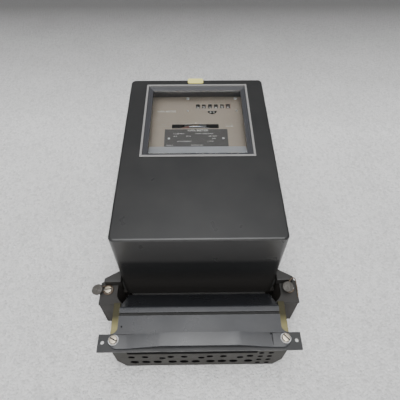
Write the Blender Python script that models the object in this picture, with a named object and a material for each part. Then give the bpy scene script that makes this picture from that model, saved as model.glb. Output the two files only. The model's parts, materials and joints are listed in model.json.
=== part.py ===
"""Three-phase induction electricity meter, lying on its back.

Frame: +X to the right of the dial, +Y towards the meter's top, +Z out of its front.
The origin lies on the wall face of the back plate, on the centre line, in the plane of
the hood's lower wall. All sizes are in metres, written as millimetres times MM.
"""

import math

import bmesh
import bpy
from mathutils import Matrix, Vector

MM = 0.001
GAP = 0.3 * MM  # kept between pieces that touch on the real meter

# Driving dimensions
HOOD_WIDTH = 175 * MM
HOOD_LENGTH = 252 * MM
HOOD_FRONT_Z = 140 * MM
HOOD_FOOT_Z = 19.5 * MM
HOOD_WALL = 3 * MM
HOOD_CORNER_R = 6 * MM
HOOD_EDGE_R = 2.5 * MM
WINDOW_SIDE = 131.5 * MM
WINDOW_MID_Y = 174.6 * MM
PLATE_T = 2 * MM
TERMINAL_WIDTH = 177 * MM
TERMINAL_NEAR_Y = -77.4 * MM
TERMINAL_TOP_Z = 52 * MM
EAR_TOP_Z = 52 * MM
EAR_OUT_X = 109.8 * MM
DIAL_Z = 120 * MM
RAIL_TOP_Z = 60 * MM
COVER_TOP_Z = 64 * MM
SHAFT_X = -2.4 * MM
SHAFT_Z = 74.5 * MM
DISC_YS = {"upper_disc": 180.7 * MM, "lower_disc": 117 * MM}
DISC_RADII = {"upper_disc": 46 * MM, "lower_disc": 43 * MM}
DRUM_AXIS_Y = 219.8 * MM
DRUM_AXIS_Z = 110.5 * MM
DRUM_FIRST_X = 1 * MM
DRUM_PITCH = 8.1 * MM
DRUM_R = 8 * MM

# Gears
REGISTER_MODULE = 0.7 * MM
WORM_MODULE = 0.6 * MM
WORM_R = 3.5 * MM
WORM_WHEEL_TEETH = 50
PINION_TEETH = 10
IDLER_TEETH = 30
DRUM_TEETH = 20
CARRY_TEETH = 8
WORM_WHEEL_Y = 200 * MM

LEFT, RIGHT = -1, 1
SIDES = {"left": LEFT, "right": RIGHT}

FINISHES = {
    "hood_black": ((0.035, 0.037, 0.040), 0.40, 0.0),
    "base_brown": ((0.105, 0.095, 0.085), 0.55, 0.0),
    "zinc_yellow": ((0.62, 0.58, 0.36), 0.35, 0.9),
    "rail_black": ((0.055, 0.058, 0.062), 0.45, 0.3),
    "nickel": ((0.72, 0.68, 0.60), 0.30, 1.0),
    "lead": ((0.33, 0.33, 0.32), 0.60, 0.6),
    "seal_wire": ((0.40, 0.33, 0.25), 0.50, 0.8),
    "frame_grey": ((0.42, 0.42, 0.43), 0.35, 0.0),
    "clear": ((0.85, 0.87, 0.90), 0.05, 0.0),
    "marker_yellow": ((0.80, 0.76, 0.42), 0.45, 0.0),
    "dial_taupe": ((0.42, 0.38, 0.32), 0.50, 0.2),
    "label_dark": ((0.13, 0.12, 0.11), 0.50, 0.1),
    "cast_aluminium": ((0.60, 0.60, 0.60), 0.50, 0.9),
    "disc_aluminium": ((0.80, 0.80, 0.81), 0.25, 1.0),
    "steel": ((0.50, 0.50, 0.51), 0.35, 1.0),
    "lamination": ((0.22, 0.23, 0.25), 0.50, 0.7),
    "coil_wrap": ((0.30, 0.10, 0.06), 0.60, 0.0),
    "brass": ((0.70, 0.52, 0.22), 0.30, 1.0),
    "drum_black": ((0.05, 0.05, 0.06), 0.50, 0.0),
    "gasket_grey": ((0.20, 0.20, 0.19), 0.90, 0.0),
}


def clear_scene():
    for old in list(bpy.data.objects):
        bpy.data.objects.remove(old)


def finish(name):
    """The Principled material of that name, made once."""
    made = bpy.data.materials.get(name)
    if made:
        return made
    colour, roughness, metallic = FINISHES[name]
    made = bpy.data.materials.new(name)
    made.use_nodes = True
    shader = made.node_tree.nodes["Principled BSDF"]
    shader.inputs["Base Color"].default_value = (*colour, 1)
    shader.inputs["Roughness"].default_value = roughness
    shader.inputs["Metallic"].default_value = metallic
    return made


def add_object(name, mesh_maker, material, smooth=None):
    """A new object from a bmesh with outward normals; smooth is the angle for smooth shading."""
    bmesh.ops.recalc_face_normals(mesh_maker, faces=mesh_maker.faces)
    mesh = bpy.data.meshes.new(name)
    mesh_maker.to_mesh(mesh)
    mesh_maker.free()
    mesh.materials.append(finish(material))
    if smooth:
        mesh.shade_smooth()
        mesh.set_sharp_from_angle(angle=math.radians(smooth))
    made = bpy.data.objects.new(name, mesh)
    bpy.context.scene.collection.objects.link(made)
    return made


def axis_point(axis, along, a, b):
    """The point at distance along the named axis, with a and b on the next two, in X, Y, Z order."""
    return {"X": (along, a, b), "Y": (a, along, b), "Z": (a, b, along)}[axis]


def extrude_outline(maker, outline, low, high, axis="Z"):
    """Adds a prism: the outline's points, in the plane across the axis, carried from low to high."""
    ring = [maker.verts.new(axis_point(axis, low, a, b)) for a, b in outline]
    face = maker.faces.new(ring)
    raised = bmesh.ops.extrude_face_region(maker, geom=[face])["geom"]
    moved = [part for part in raised if isinstance(part, bmesh.types.BMVert)]
    shift = Vector(axis_point(axis, high - low, 0, 0))
    bmesh.ops.translate(maker, vec=shift, verts=moved)


def prism(name, outline, low, high, material, axis="Z", smooth=None):
    maker = bmesh.new()
    extrude_outline(maker, outline, low, high, axis)
    return add_object(name, maker, material, smooth)


def rectangle(low_a, low_b, high_a, high_b):
    return [(low_a, low_b), (high_a, low_b), (high_a, high_b), (low_a, high_b)]


def circle(centre, radius, sides, start=0.0):
    turns = [start + 2 * math.pi * k / sides for k in range(sides)]
    return [(centre[0] + radius * math.cos(t), centre[1] + radius * math.sin(t)) for t in turns]


def arc(centre, radius, start, end, steps):
    """Points on an arc from angle start to end, in degrees."""
    turns = [math.radians(start + (end - start) * k / steps) for k in range(steps + 1)]
    return [(centre[0] + radius * math.cos(t), centre[1] + radius * math.sin(t)) for t in turns]


def rounded_rectangle(low_a, low_b, high_a, high_b, radius, steps=4):
    corners = [
        (high_a - radius, high_b - radius, 0),
        (low_a + radius, high_b - radius, 90),
        (low_a + radius, low_b + radius, 180),
        (high_a - radius, low_b + radius, 270),
    ]
    return [p for a, b, turn in corners for p in arc((a, b), radius, turn, turn + 90, steps)]


def box(name, low, high, material):
    return prism(name, rectangle(low[0], low[1], high[0], high[1]), low[2], high[2], material)


def rod(name, centre, radius, low, high, material, axis="Z", sides=24):
    """A round bar along the named axis, about the centre given in the plane across it."""
    return prism(name, circle(centre, radius, sides), low, high, material, axis, smooth=40)


def as_helper(helper):
    """Marks a cutter or a joined-on shape, which isn't a piece of its own."""
    helper.hide_render = True
    helper.display_type = "WIRE"
    return helper


def add_boolean(target, helper, operation):
    step = target.modifiers.new(helper.name, "BOOLEAN")
    step.operation = operation
    step.object = as_helper(helper)
    return target


def cut(target, helper):
    return add_boolean(target, helper, "DIFFERENCE")


def join(target, helper):
    return add_boolean(target, helper, "UNION")


def cut_round_holes(target, name, holes, low, high, axis="Z", sides=16):
    """Cuts one hole for each (a, b, radius), all between the same two planes."""
    maker = bmesh.new()
    for a, b, radius in holes:
        extrude_outline(maker, circle((a, b), radius, sides), low, high, axis)
    return cut(target, add_object(name, maker, "steel"))


def mirrored(outline, side):
    """The outline for the right side, or its mirror image for the left."""
    return [(side * a, b) for a, b in outline]


def move_group(name, pivot, members):
    """Parents the members to an empty at the pivot, and leaves them where they are."""
    empty = bpy.data.objects.new(name, None)
    empty.location = pivot
    bpy.context.scene.collection.objects.link(empty)
    for member in members:
        member.data.transform(Matrix.Translation(-Vector(pivot)))
        member.parent = empty


# Back plate and base

PLATE_NEAR_Y = -61 * MM
PLATE_FAR_Y = 247 * MM
PLATE_NECK_X = 86.4 * MM
PLATE_WING_X = 103 * MM
PLATE_BODY_X = 82 * MM
WING_NEAR_Y = 16 * MM
WING_FAR_Y = 33 * MM
TONGUE_X = 18 * MM
TONGUE_TIP_Y = 262 * MM
WALL_HOLE_R = 2.75 * MM
WALL_HOLE_X = 95 * MM
WALL_HOLE_Y = 24.5 * MM
KEYHOLE_R = 5 * MM
KEYHOLE_SLOT = 7 * MM


def back_plate():
    """Zinc-plated sheet: wings with the lower wall holes, and a tongue with a keyhole above."""
    right = [
        (PLATE_NECK_X, PLATE_NEAR_Y),
        (PLATE_NECK_X, WING_NEAR_Y - 3 * MM),
        (PLATE_WING_X, WING_NEAR_Y),
        (PLATE_WING_X, WING_FAR_Y),
        (PLATE_BODY_X, WING_FAR_Y + 12 * MM),
        (PLATE_BODY_X, PLATE_FAR_Y),
        (TONGUE_X, PLATE_FAR_Y),
    ]
    tongue = arc((0, TONGUE_TIP_Y), TONGUE_X, 0, 180, 12)
    outline = right + tongue + [(-x, y) for x, y in reversed(right)]
    plate = prism("back_plate", outline, 0, PLATE_T, "zinc_yellow")
    low, high = -1 * MM, PLATE_T + 1 * MM
    holes = [(side * WALL_HOLE_X, WALL_HOLE_Y, WALL_HOLE_R) for side in SIDES.values()]
    cut_round_holes(plate, "wall_hole_cutter", holes, low, high)
    slot = arc((0, TONGUE_TIP_Y + KEYHOLE_SLOT), WALL_HOLE_R, 0, 180, 8)
    neck = math.asin(WALL_HOLE_R / KEYHOLE_R)
    round_part = arc((0, TONGUE_TIP_Y), KEYHOLE_R, 90 + math.degrees(neck), 450 - math.degrees(neck), 20)
    return cut(plate, prism("keyhole_cutter", slot + round_part, low, high, "steel"))


BASE_FLOOR_Z = PLATE_T + GAP
BASE_RIM_Z = 17 * MM
BASE_FLOOR_T = 3 * MM
BASE_INSET = 1.5 * MM
HEEL_HALF = 80 * MM
POST_IN_X = 91 * MM
CHEEK_LOW_Z = 2.3 * MM
WELL_FLOOR_Z = 5 * MM
WELL_IN_X = 81.2 * MM
HOLLOW_CLEAR = 0.5 * MM
POST_FACE_IN_X = 86.8 * MM
POST_OUT_X = 109.2 * MM
POST_NEAR_Y = -26.4 * MM
POST_LOW_Z = 0.4 * MM
POST_TOP_Z = EAR_TOP_Z - 2.8 * MM
EAR_SLOPE_NEAR_Y = -1.5 * MM
EAR_SLOPE_FAR_Y = 11.8 * MM
EAR_HOLLOW = [
    (HOOD_WIDTH / 2 - 1.5 * MM, 4 * MM),
    (89.8 * MM, -3 * MM),
    (90.4 * MM, -10 * MM),
    (90.2 * MM, -17 * MM),
    (88 * MM, -21.4 * MM),
    (85.6 * MM, -24.2 * MM),
    (83.9 * MM, -25.4 * MM),
]
HOOD_SCREW_X = 100.8 * MM
HOOD_SCREW_Y = -10.4 * MM
SCREW_SHANK_R = 2 * MM
SCREW_HOLE_R = 2.3 * MM


def post_cheek_outline():
    """The hollow inner side of the right post, which follows the ear's own hollow side."""
    hollow = [(x + HOLLOW_CLEAR, y) for x, y in EAR_HOLLOW[1:]]
    start = (EAR_HOLLOW[1][0] - 0.9 * MM, -2 * GAP)
    far_x = POST_IN_X + 1 * MM
    return [(far_x, -2 * GAP), start, *hollow, (hollow[-1][0], POST_NEAR_Y), (far_x, POST_NEAR_Y)]


def base_tray():
    """Moulded base: a shallow tray with a post at each lower corner for the hood's screws."""
    half = HOOD_WIDTH / 2 - BASE_INSET
    wall = HOOD_WALL
    outline = rounded_rectangle(-half, BASE_INSET, half, HOOD_LENGTH - BASE_INSET, HOOD_CORNER_R)
    tray = prism("base_tray", outline, BASE_FLOOR_Z, BASE_RIM_Z, "base_brown", smooth=30)
    hollow = rectangle(-half + wall, BASE_INSET + wall, half - wall, HOOD_LENGTH - BASE_INSET - wall)
    cut(tray, prism("tray_hollow", hollow, BASE_FLOOR_Z + BASE_FLOOR_T, BASE_RIM_Z + 1 * MM, "steel"))
    heel = rectangle(-HEEL_HALF - GAP, -5 * MM, HEEL_HALF + GAP, 9 * MM)
    cut(tray, prism("heel_notch", heel, 0, BASE_RIM_Z + 1 * MM, "steel"))
    face_far_y = POST_NEAR_Y + 4.5 * MM
    post = [
        (POST_FACE_IN_X, POST_NEAR_Y),
        (POST_OUT_X, POST_NEAR_Y),
        (POST_OUT_X, EAR_SLOPE_NEAR_Y),
        (POST_IN_X, EAR_SLOPE_FAR_Y - 3 * MM),
        (POST_IN_X, face_far_y),
        (POST_FACE_IN_X, face_far_y),
    ]
    web = rectangle(half - 2 * MM, 2.5 * MM, POST_IN_X + 2 * MM, 7 * MM)
    well = rectangle(WELL_IN_X, POST_NEAR_Y, POST_IN_X + 1 * MM, -2 * GAP)
    for name, side in SIDES.items():
        cheek = mirrored(post_cheek_outline(), side)
        join(tray, prism(f"post_cheek_{name}", cheek, CHEEK_LOW_Z, POST_TOP_Z, "base_brown"))
        join(tray, prism(f"well_floor_{name}", mirrored(well, side), CHEEK_LOW_Z, WELL_FLOOR_Z, "base_brown"))
        join(tray, prism(f"web_{name}", mirrored(web, side), BASE_FLOOR_Z, BASE_RIM_Z, "base_brown"))
        join(tray, prism(f"post_{name}", mirrored(post, side), POST_LOW_Z, POST_TOP_Z, "base_brown"))
    holes = [(side * HOOD_SCREW_X, HOOD_SCREW_Y, SCREW_HOLE_R) for side in SIDES.values()]
    return cut_round_holes(tray, "post_hole_cutter", holes, 24 * MM, POST_TOP_Z + 1 * MM, sides=12)


def hood_gasket():
    """Flat cord of felt between the tray's rim and the hood's foot."""
    low, high = BASE_RIM_Z + GAP, HOOD_FOOT_Z - GAP
    half, inset = HOOD_WIDTH / 2 - BASE_INSET, BASE_INSET
    width = 2.4 * MM
    outer = rounded_rectangle(-half, inset, half, HOOD_LENGTH - inset, HOOD_CORNER_R)
    gasket = prism("hood_gasket", outer, low, high, "gasket_grey")
    inner = rectangle(-half + width, inset + width, half - width, HOOD_LENGTH - inset - width)
    return cut(gasket, prism("gasket_hollow", inner, low - 1 * MM, high + 1 * MM, "steel"))


# Hood, window and seals

WINDOW_SEAT_HALF = 62.5 * MM
WINDOW_LEDGE_HALF = 57.5 * MM
WINDOW_RIM_UP = 1.2 * MM
WINDOW_HOLE_HALF = 64 * MM
WINDOW_BODY_HALF = WINDOW_HOLE_HALF - GAP
EAR_T = 2.5 * MM
EAR_NEAR_Y = -27 * MM
EAR_STEP_Y = -4.5 * MM
EAR_STEP_Z = 61 * MM
STEP_OUT_X = 105 * MM


def window_square(half):
    return rectangle(-half, WINDOW_MID_Y - half, half, WINDOW_MID_Y + half)


def ear_outline():
    """The right ear in plan: it springs from the hood's corner and reaches past the lower wall."""
    wall_x = HOOD_WIDTH / 2 - 1.5 * MM
    slope = [(EAR_OUT_X, EAR_SLOPE_NEAR_Y), (wall_x, EAR_SLOPE_FAR_Y + 0.9 * MM)]
    return slope + EAR_HOLLOW + [(EAR_HOLLOW[-1][0], EAR_NEAR_Y), (EAR_OUT_X, EAR_NEAR_Y)]


def ear_step_outline():
    """The raised far part of the right ear."""
    wall_x = HOOD_WIDTH / 2 - 1.2 * MM
    slope = [(STEP_OUT_X, 0.2 * MM), (wall_x, EAR_SLOPE_FAR_Y - 1 * MM)]
    return slope + [(wall_x, EAR_STEP_Y), (STEP_OUT_X, EAR_STEP_Y)]


def hood():
    """The moulded hood: a box open at the back, with a square window and two screw ears."""
    half = HOOD_WIDTH / 2
    maker = bmesh.new()
    outline = rounded_rectangle(-half, 0, half, HOOD_LENGTH, HOOD_CORNER_R)
    extrude_outline(maker, outline, HOOD_FOOT_Z, HOOD_FRONT_Z)
    front = [e for e in maker.edges if all(v.co.z > HOOD_FRONT_Z - MM for v in e.verts)]
    bmesh.ops.bevel(maker, geom=front, offset=HOOD_EDGE_R, segments=3, profile=0.5, affect="EDGES")
    shell = add_object("hood", maker, "hood_black", smooth=30)
    wall = HOOD_WALL
    inside = rounded_rectangle(-half + wall, wall, half - wall, HOOD_LENGTH - wall, HOOD_CORNER_R - wall, 2)
    cut(shell, prism("hood_inside", inside, HOOD_FOOT_Z - 1 * MM, HOOD_FRONT_Z - wall, "steel"))
    opening = window_square(WINDOW_HOLE_HALF)
    cut(shell, prism("window_hole", opening, HOOD_FRONT_Z - 2 * wall, HOOD_FRONT_Z + wall, "steel"))
    for name, side in SIDES.items():
        flat = prism(f"ear_{name}", mirrored(ear_outline(), side), EAR_TOP_Z - EAR_T, EAR_TOP_Z, "hood_black")
        join(shell, flat)
        step_low = EAR_TOP_Z - 1 * MM
        step = prism(f"ear_step_{name}", mirrored(ear_step_outline(), side), step_low, EAR_STEP_Z, "hood_black")
        join(shell, step)
    holes = [(side * HOOD_SCREW_X, HOOD_SCREW_Y, SCREW_HOLE_R) for side in SIDES.values()]
    return cut_round_holes(shell, "ear_hole_cutter", holes, 45 * MM, EAR_TOP_Z + 1 * MM, sides=12)


def window_frame():
    """Grey rim round the window: a flange on the hood, a body in its opening and a ledge for the pane."""
    top = HOOD_FRONT_Z + WINDOW_RIM_UP
    ledge_z = HOOD_FRONT_Z - 4 * MM
    foot_z = ledge_z - 2 * MM
    rim = prism("window_frame", window_square(WINDOW_BODY_HALF), foot_z, top, "frame_grey")
    flange = window_square(WINDOW_SIDE / 2)
    join(rim, prism("window_flange", flange, HOOD_FRONT_Z + GAP, top, "frame_grey"))
    cut(rim, prism("pane_seat", window_square(WINDOW_SEAT_HALF), ledge_z, top + 1 * MM, "steel"))
    through = window_square(WINDOW_LEDGE_HALF)
    return cut(rim, prism("window_through", through, foot_z - 1 * MM, top + 1 * MM, "steel"))


def window_pane():
    low = HOOD_FRONT_Z - 4 * MM + GAP
    return prism("window_pane", window_square(WINDOW_SEAT_HALF - GAP), low, low + 2 * MM, "clear")


MARKER_X = -1.7 * MM
MARKER_HALF = 10.2 * MM


def marker_clip():
    """Small yellow clip over the hood's upper edge."""
    far = HOOD_LENGTH + GAP
    top = HOOD_FRONT_Z + GAP
    thick = 0.9 * MM
    section = [
        (242.6 * MM, top),
        (far, top),
        (far, top - 12 * MM),
        (far + thick, top - 12 * MM),
        (far + thick, top + thick),
        (242.6 * MM, top + thick),
    ]
    return prism("marker_clip", section, MARKER_X - MARKER_HALF, MARKER_X + MARKER_HALF, "marker_yellow", "X")


SCREW_HEAD_R = 4.3 * MM
SCREW_HEAD_H = 3.1 * MM
SCREW_SLOT = 1.2 * MM


def cheese_head_screw(name, centre, seat_z, shank_end_z, slot_turn):
    """A slotted cheese-head screw whose head stands on seat_z."""
    head_top = seat_z + SCREW_HEAD_H
    maker = bmesh.new()
    extrude_outline(maker, circle(centre, SCREW_HEAD_R, 20), seat_z, head_top)
    rim = [e for e in maker.edges if all(v.co.z > head_top - MM / 10 for v in e.verts)]
    bmesh.ops.bevel(maker, geom=rim, offset=0.5 * MM, segments=2, profile=0.5, affect="EDGES")
    screw = add_object(name, maker, "nickel", smooth=40)
    join(screw, rod(f"{name}_shank", centre, SCREW_SHANK_R, shank_end_z, seat_z + 1 * MM, "nickel", sides=12))
    slot = prism(
        f"{name}_slot",
        rectangle(-2 * SCREW_HEAD_R, -SCREW_SLOT / 2, 2 * SCREW_HEAD_R, SCREW_SLOT / 2),
        head_top - 1.3 * MM,
        head_top + 1 * MM,
        "steel",
    )
    slot.location = (*centre, 0)
    slot.rotation_euler.z = math.radians(slot_turn)
    return cut(screw, slot)


LEAD_R = 6.1 * MM
LEAD_HALF_T = 2 * MM
LEAD_PLACES = {
    "left": (Vector((-111.9, -11.5, 56.6)) * MM, (6, -10)),
    "right": (Vector((97.6, -12, 60)) * MM, (8, 10)),
}


def lead_seal(side_name):
    """A pressed lead disc with a rounded rim, lying tilted where its wire leaves it."""
    centre, tilt = LEAD_PLACES[side_name]
    maker = bmesh.new()
    extrude_outline(maker, circle((0, 0), LEAD_R, 20), -LEAD_HALF_T, LEAD_HALF_T)
    rims = [e for e in maker.edges if abs(e.verts[0].co.z - e.verts[1].co.z) < MM / 10]
    bmesh.ops.bevel(maker, geom=rims, offset=1 * MM, segments=2, profile=0.5, affect="EDGES")
    seal = add_object(f"lead_seal_{side_name}", maker, "lead", smooth=50)
    turn = Matrix.Rotation(math.radians(tilt[0]), 4, "X") @ Matrix.Rotation(math.radians(tilt[1]), 4, "Y")
    seal.data.transform(Matrix.Translation(centre) @ turn)
    return seal


WIRE_R = 0.45 * MM
WIRE_LOOP_R = SCREW_HEAD_R + WIRE_R + 0.4 * MM


def wire_route(side):
    """Once round the screw's head, just above the ear, then up towards the lead at the outside."""
    centre = Vector((side * HOOD_SCREW_X, HOOD_SCREW_Y, EAR_TOP_Z + 1.1 * MM))
    turns = [math.radians(-160 + 285 * k / 18) for k in range(19)]
    loop = [
        centre + Vector((-side * math.cos(t) * WIRE_LOOP_R, math.sin(t) * WIRE_LOOP_R, 0.3 * MM * math.sin(t)))
        for t in turns
    ]
    last = loop[-1]
    tail = [last + Vector((side * 0.7, 0.4, 0.1)) * MM * k for k in (1, 2)]
    return loop + tail


def seal_wire(side_name):
    """Sealing wire round the hood's screw."""
    name = f"seal_wire_{side_name}"
    line = bpy.data.curves.new(name, "CURVE")
    line.dimensions = "3D"
    line.bevel_depth = WIRE_R
    line.bevel_resolution = 1
    line.use_fill_caps = True
    line.materials.append(finish("seal_wire"))
    points = wire_route(SIDES[side_name])
    spline = line.splines.new("POLY")
    spline.points.add(len(points) - 1)
    for point, place in zip(spline.points, points):
        point.co = (*place, 1)
    made = bpy.data.objects.new(name, line)
    bpy.context.scene.collection.objects.link(made)
    return made


# Terminal block, its rail and its cover

BLOCK_FAR_Y = -36 * MM
BLOCK_FACE_FAR_Y = -61.9 * MM
BLOCK_LOW_Z = 0.4 * MM
BLOCK_BODY_HALF = 80.5 * MM
PHASE_PITCH = 41 * MM
PHASE_FIRST_X = -71.5 * MM
SMALL_HOLE_XS = (63.6 * MM, 73.4 * MM)
SMALL_HOLE_ZS = (8 * MM, 20 * MM, 32 * MM, 44 * MM)
BORE_R = 4.3 * MM
UPPER_BORE_R = 3.2 * MM
SMALL_BORE_R = 2.5 * MM
BORE_END_Y = TERMINAL_NEAR_Y + 30 * MM
LOWER_ROW = (15.5 * MM, (1 * MM, 13.5 * MM, 26 * MM))
UPPER_ROW = (34 * MM, (0, 14.2 * MM))
STEP_ROW = (29.5 * MM, (32 * MM,))
SHADOW_BAND = (-73 * MM, 58 * MM)


def wire_bores():
    """(x, z, radius) of each wire entry: three phases of six, then the neutral pair."""
    bores = []
    for phase in range(3):
        start = PHASE_FIRST_X + phase * PHASE_PITCH
        for (z, offsets), radius in ((LOWER_ROW, BORE_R), (UPPER_ROW, UPPER_BORE_R), (STEP_ROW, UPPER_BORE_R)):
            bores += [(start + offset, z, radius) for offset in offsets]
    neutral = PHASE_FIRST_X + 3 * PHASE_PITCH
    return bores + [(neutral + 1 * MM, LOWER_ROW[0], BORE_R), (neutral + 1 * MM, UPPER_ROW[0], UPPER_BORE_R)]


def terminal_block():
    """Moulded block with the wire entries in its lower face and a heel that runs under the hood."""
    half = TERMINAL_WIDTH / 2
    right = [(81.2 * MM, BLOCK_LOW_Z), (83.1 * MM, 6.1 * MM), (half, 20.5 * MM), (half, TERMINAL_TOP_Z)]
    section = right + [(-x, z) for x, z in reversed(right)]
    block = prism("terminal_block", section, TERMINAL_NEAR_Y, BLOCK_FACE_FAR_Y, "base_brown", "Y")
    body = rectangle(-BLOCK_BODY_HALF, BLOCK_FACE_FAR_Y - 1 * MM, BLOCK_BODY_HALF, BLOCK_FAR_Y)
    join(block, prism("block_body", body, BASE_FLOOR_Z, TERMINAL_TOP_Z, "base_brown"))
    heel = rectangle(-HEEL_HALF, BLOCK_FAR_Y - 2 * MM, HEEL_HALF, 8.5 * MM)
    join(block, prism("block_heel", heel, BASE_FLOOR_Z, BASE_RIM_Z, "base_brown"))
    band = rectangle(SHADOW_BAND[0], TERMINAL_NEAR_Y - 1 * MM, SHADOW_BAND[1], TERMINAL_NEAR_Y + 5 * MM)
    cut(block, prism("band_cutter", band, 45 * MM, TERMINAL_TOP_Z + 1 * MM, "steel"))
    mouth = TERMINAL_NEAR_Y - 1 * MM
    cut_round_holes(block, "bore_cutter", wire_bores(), mouth, BORE_END_Y, "Y", 14)
    small = [(x, z, SMALL_BORE_R) for x in SMALL_HOLE_XS for z in SMALL_HOLE_ZS]
    return cut_round_holes(block, "small_bore_cutter", small, mouth, TERMINAL_NEAR_Y + 20 * MM, "Y", 10)


RAIL_HALF = 102.5 * MM
RAIL_NEAR_Y = -79.2 * MM
RAIL_FAR_Y = -61.6 * MM
RAIL_T = 2 * MM
EYE_X = 98 * MM
EYE_Y = -69.7 * MM
EYE_R = 1.9 * MM
COVER_SCREW_X = 86.4 * MM
COVER_SCREW_Y = -68.4 * MM


def cover_rail():
    """Angle rail across the block, with a sealing eye in each end."""
    plate = rectangle(-RAIL_HALF, RAIL_NEAR_Y, RAIL_HALF, RAIL_FAR_Y)
    rail = prism("cover_rail", plate, RAIL_TOP_Z - RAIL_T, RAIL_TOP_Z, "rail_black")
    lip = rectangle(SHADOW_BAND[0], RAIL_NEAR_Y, SHADOW_BAND[1], TERMINAL_NEAR_Y - GAP)
    join(rail, prism("rail_lip", lip, 51 * MM, RAIL_TOP_Z - 1 * MM, "rail_black"))
    holes = []
    for side in SIDES.values():
        holes += [(side * EYE_X, EYE_Y, EYE_R), (side * COVER_SCREW_X, COVER_SCREW_Y, SCREW_HOLE_R)]
    return cut_round_holes(rail, "rail_hole_cutter", holes, 55 * MM, RAIL_TOP_Z + 1 * MM, sides=12)


WEB_IN_X = 89.5 * MM
SHELF_IN_X = 84.4 * MM
WEB_Y = (-72 * MM, -27.5 * MM)


def rail_bracket(side_name):
    """Upright sheet beside the block, bent in at its top and, at its foot, on to the back plate."""
    side = SIDES[side_name]
    top, foot_top = RAIL_TOP_Z - RAIL_T - GAP, BASE_FLOOR_Z + PLATE_T
    web_out = WEB_IN_X + PLATE_T
    name = f"rail_bracket_{side_name}"
    web = mirrored(rectangle(WEB_IN_X, WEB_Y[0], web_out, WEB_Y[1]), side)
    bracket = prism(name, web, BASE_FLOOR_Z, top, "zinc_yellow")
    flange = mirrored(rectangle(80 * MM, -77 * MM, web_out, -62.5 * MM), side)
    join(bracket, prism(f"{name}_flange", flange, top - PLATE_T, top, "zinc_yellow"))
    shelf = mirrored(rectangle(SHELF_IN_X, -63 * MM, web_out, WEB_Y[1]), side)
    join(bracket, prism(f"{name}_shelf", shelf, top - PLATE_T, top, "zinc_yellow"))
    foot = mirrored(rectangle(82 * MM, -59 * MM, web_out - 1 * MM, -40 * MM), side)
    join(bracket, prism(f"{name}_foot", foot, BASE_FLOOR_Z, foot_top, "zinc_yellow"))
    hole = [(side * COVER_SCREW_X, COVER_SCREW_Y, SCREW_HOLE_R)]
    return cut_round_holes(bracket, f"{name}_thread", hole, 50 * MM, top + 1 * MM, sides=12)


COVER_HALF = 83.5 * MM
COVER_T = 2.5 * MM
CREASE_Y = -63 * MM
COVER_FAR_Y = -34 * MM
LIP_HALF = 91 * MM
LIP_NEAR_Y = -76.9 * MM
LIP_CORNER_R = 8 * MM
LIP_TOP_Z = RAIL_TOP_Z + GAP + COVER_T
LIP_RAISE = 3.5 * MM
LIP_FALL = 0.7 * MM
LIP_SETBACK = 1.5 * MM
RAMP_OUT_X = 73.5 * MM
RAMP_IN_X = 39 * MM
GROOVE = (-44.1 * MM, -40.8 * MM)


def lip_share(x):
    """0 on the lip's screw tabs, 1 on its raised middle, and evenly between on the ramps."""
    share = (RAMP_OUT_X - abs(x)) / (RAMP_OUT_X - RAMP_IN_X)
    return min(1.0, max(0.0, share))


def lip_near_y(x):
    """The lip's near edge, set back in the middle, with round corners at both ends."""
    past = abs(x) - (LIP_HALF - LIP_CORNER_R)
    if past <= 0:
        return LIP_NEAR_Y + LIP_SETBACK * lip_share(x)
    return LIP_NEAR_Y + LIP_CORNER_R - math.sqrt(max(0.0, LIP_CORNER_R**2 - past**2))


def cover_lip():
    """The lip as a row of cross-sections from one end to the other, skinned into one solid."""
    corner = [LIP_HALF - LIP_CORNER_R * (1 - math.sin(math.radians(a))) for a in (0, 30, 60, 90)]
    right = [0.0, RAMP_IN_X, RAMP_OUT_X, *corner]
    stations = [-x for x in reversed(right[1:])] + right
    maker = bmesh.new()
    loops = []
    for x in stations:
        near, share = lip_near_y(x), lip_share(x)
        far_top = LIP_TOP_Z + share * LIP_RAISE
        near_top = LIP_TOP_Z + share * (LIP_RAISE - LIP_FALL)
        corners = [
            (x, CREASE_Y + 0.5 * MM, far_top),
            (x, near, near_top),
            (x, near, near_top - COVER_T),
            (x, CREASE_Y + 0.5 * MM, LIP_TOP_Z - COVER_T),
        ]
        loops.append([maker.verts.new(point) for point in corners])
    for first, second in zip(loops, loops[1:]):
        for k in range(4):
            after = (k + 1) % 4
            maker.faces.new((first[k], first[after], second[after], second[k]))
    maker.faces.new(loops[0])
    maker.faces.new(loops[-1])
    return add_object("cover_lip", maker, "hood_black")


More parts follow.
